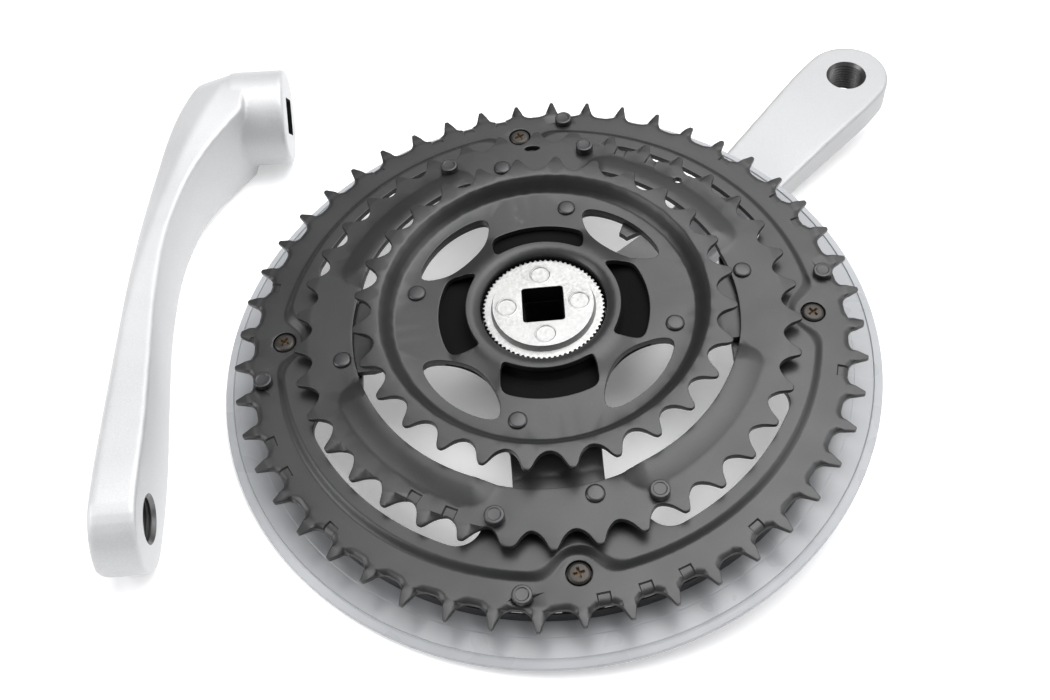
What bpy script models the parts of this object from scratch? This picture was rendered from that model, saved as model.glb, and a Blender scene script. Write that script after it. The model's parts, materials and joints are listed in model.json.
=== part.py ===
"""A triple bicycle crankset laid out on a flat surface.

The drive side is one riveted unit: a square-taper crank arm, a pressed spider, three
chainrings and a plastic chain guard. It lies on its outer side, so it leans on the guard's
rim and on the bend of its arm. The left arm lies beside it on its edge.

Lengths are in millimetres and angles in degrees until a mesh is written in metres.
Ring frame: the crank axis is Z, pointing inboard, and Z = 0 is the large ring's inboard face.
World frame: Z is up, and the origin is the middle of the drive-side socket's mouth.
"""
import math

import bmesh
import bpy
from mathutils import Matrix, Vector
from mathutils.geometry import delaunay_2d_cdt

MM = 0.001
GAP = 0.3

# Chain and chainrings
CHAIN_PITCH = 12.7
ROLLER_SEAT = 4.0
LARGE_FLANK = ((5.6, 0.7), (3.1, 1.5), (1.2, 2.5), (0.3, 4.3))
MIDDLE_FLANK = ((5.6, 1.1), (3.4, 2.05), (1.5, 3.3), (0.3, 4.9))
SMALL_FLANK = ((5.5, 1.0), (3.6, 1.95), (1.8, 2.9), (0.3, 4.8))
PLATE = 2.2
LARGE_TEETH = 48
MIDDLE_TEETH = 38
SMALL_TEETH = 28
LARGE_PHASE = 81.4
MIDDLE_PHASE = 207.7
SMALL_PHASE = 206.8
MIDDLE_TOP = 6.7
SMALL_TOP = 15.4

# Large ring: a raised inner zone with four tabs that are riveted under the spider
LARGE_RAISE = 1.6
LARGE_TOE = 85.2
LARGE_CREST = 81.7
SCREW_FLAT = 5.5
SCREW_SLOPE = 3.5
WINDOW_RADIUS = 78.9
WINDOW_FILLET = 7.1
TAB_END = 60.9
WINDOWS = ((222.0, 26.0), (309.5, 23.5), (42.0, 26.0), (132.0, 26.0))

# Middle ring: a flat ring with a raised band on its inner edge between the spider arms
MIDDLE_BORE = 59.9
BAND_HEIGHT = 2.0
BAND_CREST = 62.4
BAND_SLOPE = 5.0
BAND_HALF_LENGTH = 21.3
BAND_CORNER = 0.7
BAND_OVERRUN = 1.0
BAND_CENTRES = (222.0, 312.0, 42.0, 132.0)

# Small ring: a dished ring with a crown on four legs
DISH_OUTER = 50.2
DISH_INNER = 46.3
DISH_TOP = 10.3
CROWN_TOP = 13.4
CROWN_OUTER = 25.4
CROWN_BORE = 19.5
LEG_FOOT = 32.0
SLOT_OUTER = 32.5
SLOT_HALF_WIDTH = 14.7
SLOT_CENTRE = -3.4
LENS_CENTRE = 42.0
LENS_CHORD_RADIUS = 38.4
LENS_HALF_CHORD = 14.7
LENS_OUTWARD = 4.3
LENS_INWARD = 7.9

# Spider: a pressed disc with a sleeve and four stepped arms
SPIDER_RADIUS = 46.7
SPIDER_BORE = 19.2
SLEEVE_RADIUS = 23.9
SLEEVE_SLOPE = 0.8
SPIDER_NOTCH = 1.5
SPIDER_ARM_HALF_WIDTH = 13.2
SPIDER_ARM_END = 68.5
SPIDER_ARM_CENTRE = -3.4
SPIDER_STEP_START = 47.2
SPIDER_STEP_END = 55.3

# Chain guard: a plastic ring on four posts
GUARD_RADIUS = 105.2
GUARD_BORE = 90.6
GUARD_TOP = -12.2
GUARD_WEB = 1.7
GUARD_RIM_WIDTH = 2.0
GUARD_RIM_TOP = -12.6
GUARD_RIM_BOTTOM = -14.7
GUARD_LIP_TOP = -8.7
GUARD_LIP_WIDTH = 1.7
GUARD_STEP = 0.5
GUARD_LUG_HALF_WIDTH = 6.0
GUARD_LUG_END = 76.6
GUARD_POST_RADIUS = 4.3
GUARD_POST_EDGE = 4.2

# Fasteners: radius from the crank axis and the angles they stand at
SMALL_RIVETS = (40.4, (72.0, 162.0, 252.0, 342.0))
MIDDLE_RIVETS = (63.6, (5.6, 95.6, 185.6, 275.6))
LARGE_PINS = (89.5, (3.6, 78.5, 183.6, 258.5))
MIDDLE_PINS = (70.1, (71.3, 110.0, 251.3, 290.0))
GUARD_SCREWS = (83.2, (88.9, 174.1, 268.9, 354.1))
RIVET_HEAD = 2.9
RIVET_SHANK = 1.9
RIVET_DOME = 1.0
RIVET_SHOULDER = 0.7
RIVET_CHAMFER = 0.5
RIVET_FLAT = 1.6
PIN_HEAD = 2.9
PIN_SHANK = 1.7
PIN_FOOT = 2.3
PIN_FOOT_DEPTH = 0.5
PIN_CHAMFER = 0.5
LARGE_PIN_HEIGHT = 1.9
MIDDLE_PIN_HEIGHT = 2.6
SCREW_HEAD = 3.4
SCREW_SHANK = 1.9
SCREW_TIP = -11.7
SCREW_EDGE = -0.2
SCREW_TOP = 0.3
SCREW_CHAMFER = 0.5
SHANK_CLEARANCE = 0.35

# Crank arms, measured from the boss's inner face: S runs to the pedal, Q runs outboard
ARM_LENGTH = 172.5
PEDAL_HOLE = 7.15
EYE_RADIUS = 15.7
BOSS_RADIUS = 17.2
BOSS_SKIN = 0.3
BOSS_DEPTH = 17.2
SOCKET_HALF_WIDTH = 6.35
SOCKET_TAPER = math.tan(math.radians(2.0))
SOCKET_CORNER = 1.0
SOCKET_DEPTH = 21.0
RECESS_RADIUS = 11.0
EDGE = 1.5
CUTTER_REACH = 60.0
PEDAL_CUT_TOP = 20.0
SOCKET_OVERRUN = 2.0
BOSS_CHAMFER = 1.0
ARM_INNER = ((-17.2, 14.2), (13.2, 14.2), (16.2, 16.2), (24.4, 21.6), (31.5, 25.9), (41.6, 30.4),
             (52.8, 33.7), (69, 36.7), (85.2, 37.7), (101.5, 37.7), (126.8, 36.4), (148.1, 35.3),
             (160.3, 35.1), (174.5, 35.1), (188.7, 35.1))
ARM_OUTER = ((-17.2, 27.4), (-10.1, 31.5), (0, 35), (12.2, 38.9), (25.4, 41.9), (38.6, 44),
             (50.7, 45.6), (71, 47.3), (101.5, 48.3), (137, 48.7), (152.2, 48.7), (170.5, 48.7),
             (188.7, 48.7))
ARM_FACET = ((-17.2, 15.7), (0, 22.8), (14.2, 28.4), (31.5, 34.7), (48.7, 39.4), (70, 43.6),
             (89.3, 46.1), (106.5, 46.9), (137, 47.2), (152.2, 47.2), (170.5, 47.2), (188.7, 47.2))
ARM_SIDE = ((0, 17.2), (10.1, 16.9), (22.3, 15.6), (36.5, 13.9), (52.8, 12.9), (76.1, 12.6),
            (106.5, 12.8), (137, 14.2), (162.4, 15.7), (172.5, 15.7))
FACET_WIDTH = ((-17.2, 4.1), (10.1, 4.1), (50.7, 3.2), (89.3, 1.8), (106.5, 1.5), (188.7, 1.5))
ARM_STATIONS = (-16.8, -14.7, -11.2, -6.1, 0, 7.1, 13.2, 16.2, 20.3, 25.4, 31.5, 38.6, 46.7, 56.8, 69,
                85.2, 101.5, 119.7, 138, 154.2, 165.4, 172.5, 178.6, 183.2, 186.2, 187.9)

# Inner end of the drive-side boss: a disc on a knurled shoulder that carries the spider
BOSS_TOP = 12.6
DISC_RADIUS = 15.7
SHOULDER_TOP = 10.5
SHOULDER_RADIUS = 18.8
FLANGE_TOP = 5.3
FLANGE_BOTTOM = 0.5
FLANGE_RADIUS = 21.3

# Layout on the surface
ARM_HEADING = 41.0
ARM_CONTACT = (48.7, 45.3)
LEFT_BOSS_PLACE = (-81.2, 123.6)
LEFT_ARM_HEADING = -91.2

BLACK = ("black_electrocoat", (0.045, 0.047, 0.05), 0.42, 0.55)
SILVER = ("silver_paint", (0.68, 0.69, 0.70), 0.42, 0.6)
SMOKE = ("smoke_plastic", (0.36, 0.38, 0.42), 0.25, 0.0)
STEEL = ("blackened_steel", (0.06, 0.062, 0.066), 0.4, 0.7)
BRONZE = ("bronzed_screw", (0.14, 0.10, 0.075), 0.4, 0.9)


def clear_scene():
    for item in list(bpy.data.objects):
        bpy.data.objects.remove(item, do_unlink=True)


def material(recipe):
    name, colour, roughness, metallic = recipe
    made = bpy.data.materials.get(name)
    if made is None:
        made = bpy.data.materials.new(name)
        made.use_nodes = True
        shader = made.node_tree.nodes["Principled BSDF"]
        shader.inputs["Base Color"].default_value = (*colour, 1.0)
        shader.inputs["Roughness"].default_value = roughness
        shader.inputs["Metallic"].default_value = metallic
    return made


def make_object(name, bm, recipe=None, parent=None):
    """Write a mesh in millimetres as an object in metres."""
    bmesh.ops.remove_doubles(bm, verts=bm.verts, dist=1e-4)
    bmesh.ops.triangulate(bm, faces=bm.faces)
    bmesh.ops.scale(bm, vec=(MM, MM, MM), verts=bm.verts)
    mesh = bpy.data.meshes.new(name)
    bm.to_mesh(mesh)
    bm.free()
    mesh.shade_smooth()
    mesh.set_sharp_from_angle(angle=math.radians(30))
    made = bpy.data.objects.new(name, mesh)
    bpy.context.scene.collection.objects.link(made)
    made.parent = parent
    if recipe is not None:
        mesh.materials.append(material(recipe))
    return made


def polar(radius, degrees):
    angle = math.radians(degrees)
    return (radius * math.cos(angle), radius * math.sin(angle))


def circle(radius, count, centre=(0.0, 0.0), phase=0.0):
    points = []
    for step in range(count):
        x, y = polar(radius, phase + 360.0 * step / count)
        points.append((centre[0] + x, centre[1] + y))
    return points


def arc(radius, start, end, count, centre=(0.0, 0.0)):
    points = []
    for step in range(count + 1):
        x, y = polar(radius, start + (end - start) * step / count)
        points.append((centre[0] + x, centre[1] + y))
    return points


def turned_frame(points, degrees):
    """Turn points that were drawn around the +X direction to another direction."""
    c = math.cos(math.radians(degrees))
    s = math.sin(math.radians(degrees))
    return [(c * x - s * y, s * x + c * y) for x, y in points]


def ramp(value, start, end):
    """0 at start, 1 at end, and level beyond them."""
    return min(1.0, max(0.0, (value - start) / (end - start)))


def smooth_curve(points, at):
    """Read a smooth curve through hand-set points, flat beyond its ends."""
    if at <= points[0][0]:
        return points[0][1]
    for index in range(len(points) - 1):
        x0, y0 = points[index]
        x1, y1 = points[index + 1]
        if at <= x1:
            before = points[max(index - 1, 0)]
            after = points[min(index + 2, len(points) - 1)]
            slope_in = (y1 - before[1]) / (x1 - before[0])
            slope_out = (after[1] - y0) / (after[0] - x0)
            span = x1 - x0
            t = (at - x0) / span
            h00 = 2 * t ** 3 - 3 * t ** 2 + 1
            h10 = t ** 3 - 2 * t ** 2 + t
            h01 = 3 * t ** 2 - 2 * t ** 3
            h11 = t ** 3 - t ** 2
            return h00 * y0 + h10 * span * slope_in + h01 * y1 + h11 * span * slope_out
    return points[-1][1]


def pitch_radius(teeth):
    return CHAIN_PITCH / (2.0 * math.sin(math.pi / teeth))


def toothed_outline(teeth, tip_phase, flank):
    """Rollers seat in the valleys. A flank is heights above the valley with the tooth's half widths."""
    root = pitch_radius(teeth) - ROLLER_SEAT
    step = 360.0 / teeth
    points = []
    for tooth in range(teeth):
        tip = tip_phase + step * tooth
        for height, half_width in reversed(flank):
            points.append(polar(root + height, tip - math.degrees(half_width / (root + height))))
        for height, half_width in flank:
            points.append(polar(root + height, tip + math.degrees(half_width / (root + height))))
    return points


def inside(point, loop):
    x, y = point
    hit = False
    x0, y0 = loop[-1]
    for x1, y1 in loop:
        if (y0 > y) != (y1 > y) and x < (x1 - x0) * (y - y0) / (y1 - y0) + x0:
            hit = not hit
        x0, y0 = x1, y1
    return hit


def plate_mesh(outline, holes, guides, top, under):
    """A plate between two height functions. Guides are closed creases in its faces."""
    points = []
    edges = []
    for loop in [outline] + holes + guides:
        start = len(points)
        count = len(loop)
        points.extend(Vector(point) for point in loop)
        edges.extend((start + i, start + (i + 1) % count) for i in range(count))
    corners, _, faces, *_ = delaunay_2d_cdt(points, edges, [], 0, 1e-5)
    bm = bmesh.new()
    upper = {}
    lower = {}
    kept = []
    for face in faces:
        a, b, c = (corners[i] for i in face)
        middle = ((a.x + b.x + c.x) / 3.0, (a.y + b.y + c.y) / 3.0)
        if not inside(middle, outline) or any(inside(middle, hole) for hole in holes):
            continue
        turn = (b - a).cross(c - a)
        kept.append(tuple(face) if turn > 0 else tuple(reversed(face)))
    for face in kept:
        for i in face:
            if i not in upper:
                x, y = corners[i]
                upper[i] = bm.verts.new((x, y, top(x, y)))
                lower[i] = bm.verts.new((x, y, under(x, y)))
    sides = set()
    for a, b, c in kept:
        bm.faces.new((upper[a], upper[b], upper[c]))
        bm.faces.new((lower[c], lower[b], lower[a]))
        sides.update(((a, b), (b, c), (c, a)))
    for a, b in sides:
        if (b, a) not in sides:
            bm.faces.new((upper[b], upper[a], lower[a], lower[b]))
    return bm


def turned_mesh(profile, sides):
    """A solid of revolution about Z. The profile runs up from the axis and back to it."""
    bm = bmesh.new()
    rings = []
    for radius, height in profile[1:-1]:
        rings.append([bm.verts.new((*polar(radius, 360.0 * i / sides), height)) for i in range(sides)])
    bottom = bm.verts.new((0.0, 0.0, profile[0][1]))
    top = bm.verts.new((0.0, 0.0, profile[-1][1]))
    for i in range(sides):
        j = (i + 1) % sides
        bm.faces.new((bottom, rings[0][j], rings[0][i]))
        for low, high in zip(rings, rings[1:]):
            bm.faces.new((low[i], low[j], high[j], high[i]))
        bm.faces.new((top, rings[-1][i], rings[-1][j]))
    return bm


def hole_circles(pattern, radius, count=8):
    distance, angles = pattern
    return [circle(radius, count, polar(distance, angle)) for angle in angles]


def nearest_screw(x, y):
    distance, angles = GUARD_SCREWS
    spots = [polar(distance, angle) for angle in angles]
    return min(math.hypot(x - sx, y - sy) for sx, sy in spots)


def large_ring_top(x, y):
    outward = 1.0 - ramp(math.hypot(x, y), LARGE_CREST, LARGE_TOE)
    detour = ramp(nearest_screw(x, y), SCREW_FLAT, SCREW_FLAT + SCREW_SLOPE)
    return LARGE_RAISE * min(outward, detour)


def large_ring_bore():
    """Four windows with rounded outer corners, and between them the ends of four tabs."""
    points = []
    fillet_centre = WINDOW_RADIUS - WINDOW_FILLET
    corner = math.degrees(math.asin(WINDOW_FILLET / fillet_centre))
    for centre, half in sorted((c % 360.0, h) for c, h in WINDOWS):
        start = centre - half
        end = centre + half
        points.append(polar(TAB_END, start))
        first = polar(fillet_centre, start + corner)
        points.extend(arc(WINDOW_FILLET, start - 90.0, start + corner, 4, first))
        points.extend(arc(WINDOW_RADIUS, start + corner, end - corner, 12)[1:-1])
        second = polar(fillet_centre, end - corner)
        points.extend(arc(WINDOW_FILLET, end - corner, end + 90.0, 4, second))
        points.append(polar(TAB_END, end))
    return points


def build_large_ring(parent):
    guides = [circle(LARGE_TOE, 48), circle(LARGE_CREST, 48)]
    guides += hole_circles(GUARD_SCREWS, SCREW_FLAT, 10)
    guides += hole_circles(GUARD_SCREWS, SCREW_FLAT + SCREW_SLOPE, 12)
    holes = [large_ring_bore()]
    holes += hole_circles(GUARD_SCREWS, SCREW_HEAD + SHANK_CLEARANCE, 12)
    holes += hole_circles(LARGE_PINS, PIN_SHANK + SHANK_CLEARANCE)
    holes += hole_circles(MIDDLE_RIVETS, RIVET_SHANK + SHANK_CLEARANCE)
    bm = plate_mesh(toothed_outline(LARGE_TEETH, LARGE_PHASE, LARGE_FLANK), holes, guides, large_ring_top,
                    lambda x, y: large_ring_top(x, y) - PLATE)
    return make_object("chainring_large", bm, BLACK, parent)


def band_rise(x, y):
    """Height of the raised bands on the middle ring's inner edge, 0 to 1."""
    radius = math.hypot(x, y)
    best = 0.0
    for centre in BAND_CENTRES:
        away = (math.degrees(math.atan2(y, x)) - centre + 180.0) % 360.0 - 180.0
        along = max(0.0, abs(math.radians(away) * BAND_CREST) - BAND_HALF_LENGTH)
        outward = max(0.0, radius - BAND_CREST)
        best = max(best, 1.0 - ramp(math.hypot(along, outward), 0.0, BAND_SLOPE))
    return best


def band_outline(centre, margin):
    """A crease around one raised band, running past the ring's inner edge."""
    reach = math.degrees(BAND_HALF_LENGTH / BAND_CREST)
    corner = math.degrees(margin * BAND_CORNER / BAND_CREST)
    end = math.degrees(margin / BAND_CREST)
    inner = MIDDLE_BORE - BAND_OVERRUN
    points = [polar(inner, centre - reach - end), polar(BAND_CREST, centre - reach - end)]
    if margin > 0.0:
        points.append(polar(BAND_CREST + margin * BAND_CORNER, centre - reach - corner))
    points += arc(BAND_CREST + margin, centre - reach, centre + reach, 9)
    if margin > 0.0:
        points.append(polar(BAND_CREST + margin * BAND_CORNER, centre + reach + corner))
        points.append(polar(BAND_CREST, centre + reach + end))
    points.append(polar(inner, centre + reach + end))
    return points


def build_middle_ring(parent):
    guides = [band_outline(centre, margin) for centre in BAND_CENTRES for margin in (0.0, BAND_SLOPE)]
    holes = [circle(MIDDLE_BORE, 60)]
    holes += hole_circles(MIDDLE_PINS, PIN_SHANK + SHANK_CLEARANCE)
    holes += hole_circles(MIDDLE_RIVETS, RIVET_SHANK + SHANK_CLEARANCE)

    def top(x, y):
        return MIDDLE_TOP + BAND_HEIGHT * band_rise(x, y)

    bm = plate_mesh(toothed_outline(MIDDLE_TEETH, MIDDLE_PHASE, MIDDLE_FLANK), holes, guides, top,
                    lambda x, y: top(x, y) - PLATE)
    return make_object("chainring_middle", bm, BLACK, parent)


def lens_outline(centre):
    """A leaf-shaped opening: two arcs on one chord across the direction of its centre."""
    points = []
    for depth, count, outward in ((LENS_OUTWARD, 8, 1.0), (LENS_INWARD, 8, -1.0)):
        radius = (LENS_HALF_CHORD ** 2 + depth ** 2) / (2.0 * depth)
        half = math.degrees(math.asin(LENS_HALF_CHORD / radius))
        middle = LENS_CHORD_RADIUS + outward * (depth - radius)
        face = 0.0 if outward > 0 else 180.0
        points.extend(arc(radius, face - half, face + half, count, (middle, 0.0))[:-1])
    return turned_frame(points, centre)


def crown_slot(centre):
    """An opening between two crown legs: parallel sides, and an arc at each end."""
    inner_half = math.degrees(math.asin(SLOT_HALF_WIDTH / CROWN_OUTER))
    outer_half = math.degrees(math.asin(SLOT_HALF_WIDTH / SLOT_OUTER))
    points = arc(SLOT_OUTER, -outer_half, outer_half, 7)
    points += arc(CROWN_OUTER, inner_half, -inner_half, 7)
    return turned_frame(points, centre)


def small_ring_top(x, y):
    radius = math.hypot(x, y)
    crown = (CROWN_TOP - DISH_TOP) * (1.0 - ramp(radius, CROWN_OUTER, LEG_FOOT))
    dish = (SMALL_TOP - DISH_TOP) * ramp(radius, DISH_INNER, DISH_OUTER)
    return DISH_TOP + crown + dish


def build_small_ring(parent):
    guides = [circle(DISH_OUTER, 40), circle(DISH_INNER, 40), circle(CROWN_OUTER, 32), circle(LEG_FOOT, 32)]
    holes = [circle(CROWN_BORE, 32)]
    holes += [lens_outline(LENS_CENTRE + 90.0 * k) for k in range(4)]
    holes += [crown_slot(SLOT_CENTRE + 90.0 * k) for k in range(4)]
    holes += hole_circles(SMALL_RIVETS, RIVET_SHANK + SHANK_CLEARANCE)
    bm = plate_mesh(toothed_outline(SMALL_TEETH, SMALL_PHASE, SMALL_FLANK), holes, guides, small_ring_top,
                    lambda x, y: small_ring_top(x, y) - PLATE)
    return make_object("chainring_small", bm, BLACK, parent)


def spider_top(x, y):
    disc = DISH_TOP - PLATE - GAP
    arm = MIDDLE_TOP - PLATE - GAP
    sleeve = CROWN_TOP - PLATE - GAP
    radius = math.hypot(x, y)
    if radius < SPIDER_STEP_START:
        return disc + (sleeve - disc) * (1.0 - ramp(radius, SLEEVE_RADIUS, SLEEVE_RADIUS + SLEEVE_SLOPE))
    return disc + (arm - disc) * ramp(radius, SPIDER_STEP_START, SPIDER_STEP_END)


def spider_under(x, y):
    return min(spider_top(x, y), DISH_TOP - PLATE - GAP) - PLATE


def spider_outline():
    root = math.degrees(math.asin(SPIDER_ARM_HALF_WIDTH / SPIDER_RADIUS))
    tip = math.degrees(math.asin(SPIDER_ARM_HALF_WIDTH / SPIDER_ARM_END))
    points = []
    for k in range(4):
        centre = SPIDER_ARM_CENTRE + 90.0 * k
        side = [(SPIDER_STEP_START + 1.0, -SPIDER_ARM_HALF_WIDTH)]
        side += [(SPIDER_STEP_END, -SPIDER_ARM_HALF_WIDTH)]
        side += arc(SPIDER_ARM_END, -tip, tip, 5)
        side += [(SPIDER_STEP_END, SPIDER_ARM_HALF_WIDTH)]
        side += [(SPIDER_STEP_START + 1.0, SPIDER_ARM_HALF_WIDTH)]
        points += turned_frame(side, centre)
        points += arc(SPIDER_RADIUS, centre + root + SPIDER_NOTCH, centre + 90.0 - root - SPIDER_NOTCH, 10)
    return points


def build_spider(parent):
    guides = [circle(SLEEVE_RADIUS, 32), circle(SLEEVE_RADIUS + SLEEVE_SLOPE, 32)]
    guides += [circle(SPIDER_STEP_START, 40), circle(SPIDER_STEP_END, 40)]
    holes = [circle(SPIDER_BORE, 32)]
    holes += [lens_outline(LENS_CENTRE + 90.0 * k) for k in range(4)]
    holes += hole_circles(SMALL_RIVETS, RIVET_SHANK + SHANK_CLEARANCE)
    holes += hole_circles(MIDDLE_RIVETS, RIVET_SHANK + SHANK_CLEARANCE)
    bm = plate_mesh(spider_outline(), holes, guides, spider_top, spider_under)
    return make_object("spider", bm, BLACK, parent)


def guard_bore():
    """The inner edge, with a lug running inward at each screw."""
    angles = GUARD_SCREWS[1]
    root = math.degrees(math.asin(GUARD_LUG_HALF_WIDTH / GUARD_BORE))
    points = []
    for index, angle in enumerate(angles):
        following = angles[(index + 1) % 4] + (360.0 if index == 3 else 0.0)
        nose = arc(GUARD_LUG_HALF_WIDTH, 270.0, 90.0, 6, (GUARD_LUG_END + GUARD_LUG_HALF_WIDTH, 0.0))
        points += turned_frame(nose, angle)
        points += arc(GUARD_BORE, angle + root, following - root, 15)
    return points


def guard_rim(radius):
    start = GUARD_RADIUS - GUARD_RIM_WIDTH
    return ramp(radius, start, start + GUARD_STEP)


def guard_top(x, y):
    """A flat web with a lower rim, and a lip that stands up along the inner edge."""
    radius = math.hypot(x, y)
    start = GUARD_BORE + GUARD_LIP_WIDTH
    lip = 1.0 - ramp(radius, start, start + GUARD_STEP)
    return GUARD_TOP + (GUARD_RIM_TOP - GUARD_TOP) * guard_rim(radius) + (GUARD_LIP_TOP - GUARD_TOP) * lip


def guard_under(x, y):
    web = GUARD_TOP - GUARD_WEB
    return web + (GUARD_RIM_BOTTOM - web) * guard_rim(math.hypot(x, y))


def build_guard(parent):
    guides = []
    for radius in (GUARD_RADIUS - GUARD_RIM_WIDTH, GUARD_BORE + GUARD_LIP_WIDTH):
        guides += [circle(radius, 64), circle(radius + GUARD_STEP, 64)]
    holes = [guard_bore()]
    holes += hole_circles(GUARD_SCREWS, SCREW_SHANK + SHANK_CLEARANCE)
    posts = hole_circles(GUARD_SCREWS, GUARD_POST_RADIUS, 10)
    posts += hole_circles(GUARD_SCREWS, GUARD_POST_RADIUS + GUARD_STEP, 10)
    post_top = -PLATE - GAP

    def top(x, y):
        post = 1.0 - ramp(nearest_screw(x, y), GUARD_POST_EDGE, GUARD_POST_EDGE + GUARD_STEP)
        base = guard_top(x, y)
        return base + (post_top - base) * post

    bm = plate_mesh(circle(GUARD_RADIUS, 64), holes, guides + posts, top, guard_under)
    return make_object("chain_guard", bm, SMOKE, parent)


def fastener_set(name, pattern, profile, sides, recipe, parent):
    distance, angles = pattern
    for index, angle in enumerate(angles):
        made = make_object("%s_%d" % (name, index + 1), turned_mesh(profile, sides), recipe, parent)
        made.location = Vector((*polar(distance, angle), 0.0)) * MM


def rivet_profile(top, bottom):
    """A shank with a low dome above the stack and a flat head below it."""
    head = top + GAP
    foot = bottom - GAP
    return [(0.0, foot - RIVET_DOME), (RIVET_HEAD - RIVET_CHAMFER, foot - RIVET_DOME), (RIVET_HEAD, foot),
            (RIVET_SHANK, foot), (RIVET_SHANK, head), (RIVET_HEAD, head),
            (RIVET_HEAD - RIVET_CHAMFER, head + RIVET_DOME * RIVET_SHOULDER),
            (RIVET_FLAT, head + RIVET_DOME), (0.0, head + RIVET_DOME)]


def pin_profile(top, height):
    """A shift pin: a straight raised head above the plate and a small foot below it."""
    foot = top - PLATE - GAP
    head = top + GAP
    return [(0.0, foot - PIN_FOOT_DEPTH), (PIN_FOOT, foot - PIN_FOOT_DEPTH), (PIN_FOOT, foot),
            (PIN_SHANK, foot), (PIN_SHANK, head), (PIN_HEAD, head),
            (PIN_HEAD, head + height - PIN_CHAMFER), (PIN_HEAD - PIN_CHAMFER, head + height),
            (0.0, head + height)]


def screw_profile():
    return [(0.0, SCREW_TIP), (SCREW_SHANK, SCREW_TIP), (SCREW_SHANK, GAP - PLATE), (SCREW_HEAD, GAP - PLATE),
            (SCREW_HEAD, SCREW_EDGE), (SCREW_HEAD - SCREW_CHAMFER, SCREW_TOP), (0.0, SCREW_TOP)]


def arm_section(s):
    """Half the arm's outline at one station, from its inner face round to its outer face."""
    side = smooth_curve(ARM_SIDE, s)
    if s < 0.0:
        side = math.sqrt(max(BOSS_RADIUS ** 2 - s ** 2, 1.0))
    if s > ARM_LENGTH:
        side = math.sqrt(max(EYE_RADIUS ** 2 - (s - ARM_LENGTH) ** 2, 1.0))
    inner = smooth_curve(ARM_INNER, s)
    outer = smooth_curve(ARM_OUTER, s)
    facet = smooth_curve(ARM_FACET, s)
    edge = min(EDGE, side * 0.4)
    bevel = min(smooth_curve(FACET_WIDTH, s), side * 0.6)
    return [(side - edge, inner), (side, inner + EDGE), (side, facet), (side - bevel, outer)]


def arm_mesh():
    """The arm without its boss. X runs to the pedal, Z inboard."""
    bm = bmesh.new()
    rings = []
    for s in ARM_STATIONS:
        half = arm_section(s)
        around = [(y, q) for y, q in half] + [(-y, q) for y, q in reversed(half)]
        rings.append([bm.verts.new((s, y, -q)) for y, q in around])
    count = len(rings[0])
    for first, second in zip(rings, rings[1:]):
        for i in range(count):
            j = (i + 1) % count
            bm.faces.new((first[i], first[j], second[j], second[i]))
    bm.faces.new(list(reversed(rings[0])))
    bm.faces.new(rings[-1])
    bmesh.ops.recalc_face_normals(bm, faces=bm.faces)
    return bm


def socket_mesh():
    """The square taper socket as a solid: wider at its mouth, with blunt corners."""
    bm = bmesh.new()
    rings = []
    for depth in (-SOCKET_OVERRUN, SOCKET_DEPTH + SOCKET_OVERRUN / 2.0):
        half = SOCKET_HALF_WIDTH - SOCKET_TAPER * depth
        corner = half - SOCKET_CORNER
        square = []
        for k in range(4):
            square += turned_frame([(half, -corner), (half, corner)], 90.0 * k + 45.0)
        rings.append([bm.verts.new((x, y, -depth)) for x, y in square])
    count = len(rings[0])
    for i in range(count):
        j = (i + 1) % count
        bm.faces.new((rings[0][i], rings[0][j], rings[1][j], rings[1][i]))
    bm.faces.new(rings[0])
    bm.faces.new(rings[1])
    bmesh.ops.recalc_face_normals(bm, faces=bm.faces)
    return bm


def boolean(target, tool, operation):
    step = target.modifiers.new(tool.name, "BOOLEAN")
    step.operation = operation
    step.solver = "EXACT"
    step.object = tool
    tool.hide_render = True
    tool.display_type = "WIRE"


def moved(bm, offset):
    bmesh.ops.translate(bm, vec=offset, verts=bm.verts)
    return bm


def build_arm(name, boss_profile, parent):
    arm = make_object(name, arm_mesh(), SILVER, parent)
    boss = make_object(name + "_boss_tool", turned_mesh(boss_profile, 48), None, parent)
    socket = make_object(name + "_socket_tool", socket_mesh(), None, parent)
    recess_profile = [(0.0, -CUTTER_REACH), (RECESS_RADIUS, -CUTTER_REACH)]
    recess_profile += [(RECESS_RADIUS, -SOCKET_DEPTH), (0.0, -SOCKET_DEPTH)]
    recess = make_object(name + "_recess_tool", turned_mesh(recess_profile, 32), None, parent)
    hole_profile = [(0.0, -CUTTER_REACH), (PEDAL_HOLE, -CUTTER_REACH)]
    hole_profile += [(PEDAL_HOLE, -PEDAL_CUT_TOP), (0.0, -PEDAL_CUT_TOP)]
    hole_mesh = moved(turned_mesh(hole_profile, 32), (ARM_LENGTH, 0.0, 0.0))
    hole = make_object(name + "_pedal_tool", hole_mesh, None, parent)
    boolean(arm, boss, "UNION")
    boolean(arm, socket, "DIFFERENCE")
    boolean(arm, recess, "DIFFERENCE")
    boolean(arm, hole, "DIFFERENCE")
    return arm


def plain_boss():
    radius = BOSS_RADIUS + BOSS_SKIN
    return [(0.0, -BOSS_DEPTH), (radius, -BOSS_DEPTH), (radius, -BOSS_CHAMFER),
            (radius - BOSS_CHAMFER, 0.0), (0.0, 0.0)]


def drive_boss():
    """Heights count from the disc's face, so the ring frame's heights move down by BOSS_TOP."""
    radius = BOSS_RADIUS + BOSS_SKIN
    return [(0.0, -BOSS_DEPTH), (radius, -BOSS_DEPTH), (radius, FLANGE_BOTTOM - BOSS_TOP),
            (FLANGE_RADIUS, FLANGE_BOTTOM - BOSS_TOP), (FLANGE_RADIUS, FLANGE_TOP - BOSS_TOP),
            (SHOULDER_RADIUS, FLANGE_TOP - BOSS_TOP), (SHOULDER_RADIUS, SHOULDER_TOP - BOSS_TOP),
            (DISC_RADIUS, SHOULDER_TOP - BOSS_TOP), (DISC_RADIUS, 0.0), (0.0, 0.0)]


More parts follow.
